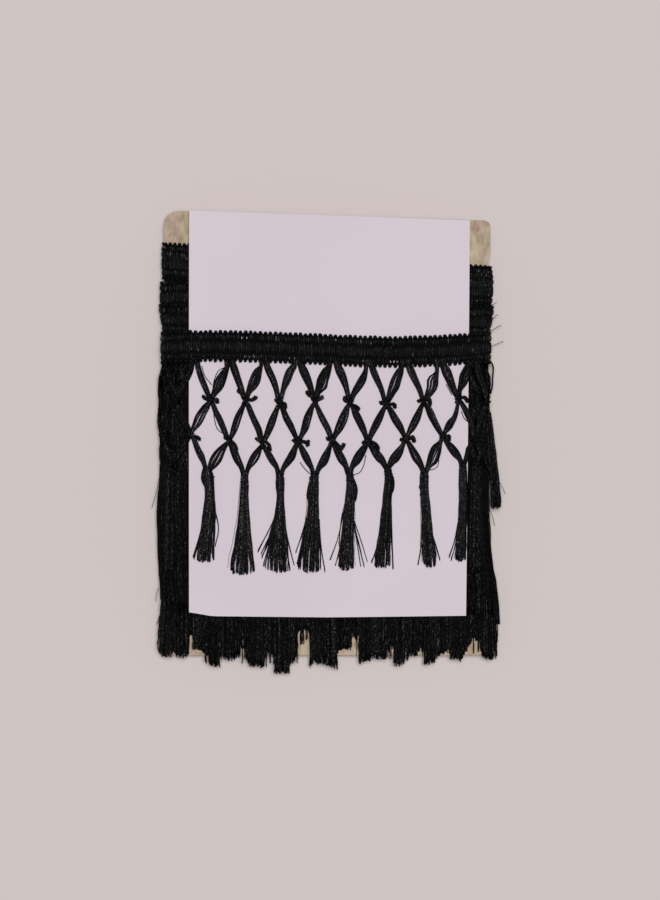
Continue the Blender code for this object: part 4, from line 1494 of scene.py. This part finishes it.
def make_side_tassel(paint):
    """The tassel that has slipped out past the right edge."""
    chance = random.Random(71)
    yarns = Yarns()
    low = (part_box("side_tassel")[0][2] / METRES) - SHIFT[2]

    def put(points, lift):
        return np.column_stack((points, low + np.broadcast_to(lift, len(points)) * 0.8))

    levels = [place(0, row[0])[1] for row in SIDE_TASSEL]
    lefts = [place(row[1], 0)[0] for row in SIDE_TASSEL]
    rights = [place(row[2], 0)[0] for row in SIDE_TASSEL]
    tassel(yarns, put, levels, lefts, rights, place(0, 510)[1], chance, 70, 3.0)
    for _ in range(26):
        path = [(x + chance.uniform(-2.5, 0.6), y + chance.uniform(-1, 2)) for x, y in SIDE_TUFT]
        path = smooth([place(*point) for point in path], 14)
        yarns.add(put(path, chance.uniform(-2.0, 1.0)), 0.26, 3, chance.uniform(0, 1), chance.uniform(0, 2))
    made = yarns.make("side_tassel_yarns", paint)
    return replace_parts(made, "side_tassel")


# Paper


def make_paper(paint):
    """The plain sheet, slightly bowed over the turns, its lower left corner lifted."""
    rows, columns = 61, 41
    points = []
    for row in range(rows):
        down = row / (rows - 1)
        left = np.array(SHEET_TOP[0]) * (1 - down) + np.array(SHEET_FOOT[0]) * down
        right = np.array(SHEET_TOP[1]) * (1 - down) + np.array(SHEET_FOOT[1]) * down
        for column in range(columns):
            across = column / (columns - 1)
            x, y = left * (1 - across) + right * across
            corner = max(0.0, 1 - across * 7) * max(0.0, 1 - (1 - down) * 22)
            y -= at(PAPER_DIP, across) * max(0.0, 1 - (1 - down) * 30)
            wave = 0.05 * math.sin(across * 5 + down * 3) * math.sin(down * 7)
            z = sheet_high(y) - PAPER_THICK - abs(wave) + 1.6 * corner**2
            points.append((x, y, z))
    faces = [face[::-1] for face in grid_faces(rows, columns)]
    made = new_piece("paper_sheet", points, faces, paint)
    made.data.polygons.foreach_set("use_smooth", [False] * len(made.data.polygons))
    solid = made.modifiers.new("thickness", "SOLIDIFY")
    solid.thickness = PAPER_THICK * METRES
    solid.offset = 1.0
    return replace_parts(made, "insert_sheet")


# Floor, light and camera


def make_stage():
    made, nodes, links, shader, coordinates = principled("floor", 0.9)
    clouds = noise(nodes, links, coordinates.outputs["Object"], 1.2, 2.0)
    colour = ramp(nodes, links, clouds, (0.3, FLOOR_DARK), (0.7, FLOOR_LIGHT))
    links.new(colour, shader.inputs["Base Color"])
    bpy.ops.mesh.primitive_plane_add(size=6.0, location=(0, 0, 0))
    floor = bpy.context.object
    floor.name = "floor"
    floor.data.materials.append(made)


def make_lights():
    world = bpy.data.worlds.new("studio")
    world.use_nodes = True
    world.node_tree.nodes["Background"].inputs["Color"].default_value = (1.0, 0.985, 0.975, 1)
    world.node_tree.nodes["Background"].inputs["Strength"].default_value = SKY
    bpy.context.scene.world = world
    light = bpy.data.lights.new("key", "AREA")
    light.energy = KEY
    light.size = 4.0
    made = bpy.data.objects.new("key", light)
    made.location = (0.6, 1.0, 12.0)
    made.rotation_euler = (-made.location).to_track_quat("-Z", "Y").to_euler()
    bpy.context.scene.collection.objects.link(made)


def make_camera():
    camera = bpy.data.cameras.new("camera")
    made = bpy.data.objects.new("camera", camera)
    bpy.context.scene.collection.objects.link(made)
    x, y = place(PHOTO_SIZE[0] / 2, PHOTO_SIZE[1] / 2)
    made.location = ((x + SHIFT[0]) * METRES, (y + SHIFT[1]) * METRES, CAMERA_HEIGHT + FOCUS_HEIGHT)
    camera.sensor_width = 36.0
    camera.lens = 36.0 * CAMERA_HEIGHT / (PHOTO_SIZE[1] * PIXEL * METRES)
    camera.clip_end = 20.0
    bpy.context.scene.camera = made


def main():
    bpy.context.scene.view_settings.view_transform = "Standard"
    yarn = yarn_material("yarn", 0.06, 1.7, 1.8, 0.7, 0.42)
    net_yarn = yarn_material("net_yarn", 0.06, 1.6, 1.4, 0.5, 0.5)
    # A darker copy of the same black yarn: painted shade on the under turns, the fringes, the side tassel
    # and the net and tassels beside the paper.
    shaded_yarn = yarn_material("shaded_yarn", 0.04, 1.0, 1.9, 0.7, 0.42)
    ground = cloth_material()
    make_stage()
    make_lights()
    make_camera()
    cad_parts["card"].data.materials[0] = board_material()

    section = round_section(BAND_LEFT, BAND_RIGHT, BAND_FLAT, BAND_BACK, BAND_UNDER)
    band = Wrap(lambda level: section)
    spot = band_spots(band)
    holes = [(place(x, 0)[0], side) for x, side in PINHOLES]
    yarns = Yarns()
    heading_yarns(yarns, spot, band.length, random.Random(1), None, holes)
    yarns.make("front_heading_ribs", net_yarn)
    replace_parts(heading_ground("front_heading_ground", spot, band.length, ground, holes), "front_heading")

    wrap = turns_wrap()
    make_core(wrap, ground)
    hidden = (wrap.along(-71.5), wrap.along(70.5))
    for number, (left, right) in enumerate(UPPER_BANDS):
        spot = upper_spots(wrap, place(0, left)[1], place(0, right)[1], 0.25 * number)
        yarns = Yarns()
        heading_yarns(yarns, spot, wrap.length, random.Random(10 + number), hidden)
        yarns.make(f"upper_heading_{number}_ribs", net_yarn)
        heading_ground(f"upper_heading_{number}_ground", spot, wrap.length, ground)
    make_turn_nets(wrap, shaded_yarn)
    make_turn_yarns(wrap, shaded_yarn)
    make_net(net_yarn, shaded_yarn)
    make_tassels(yarn, shaded_yarn)
    make_strays(yarn)
    make_lower_fringe(shaded_yarn)
    make_back_fringe(shaded_yarn)
    make_side_tassel(shaded_yarn)
    paper = make_paper(paper_material())


main()
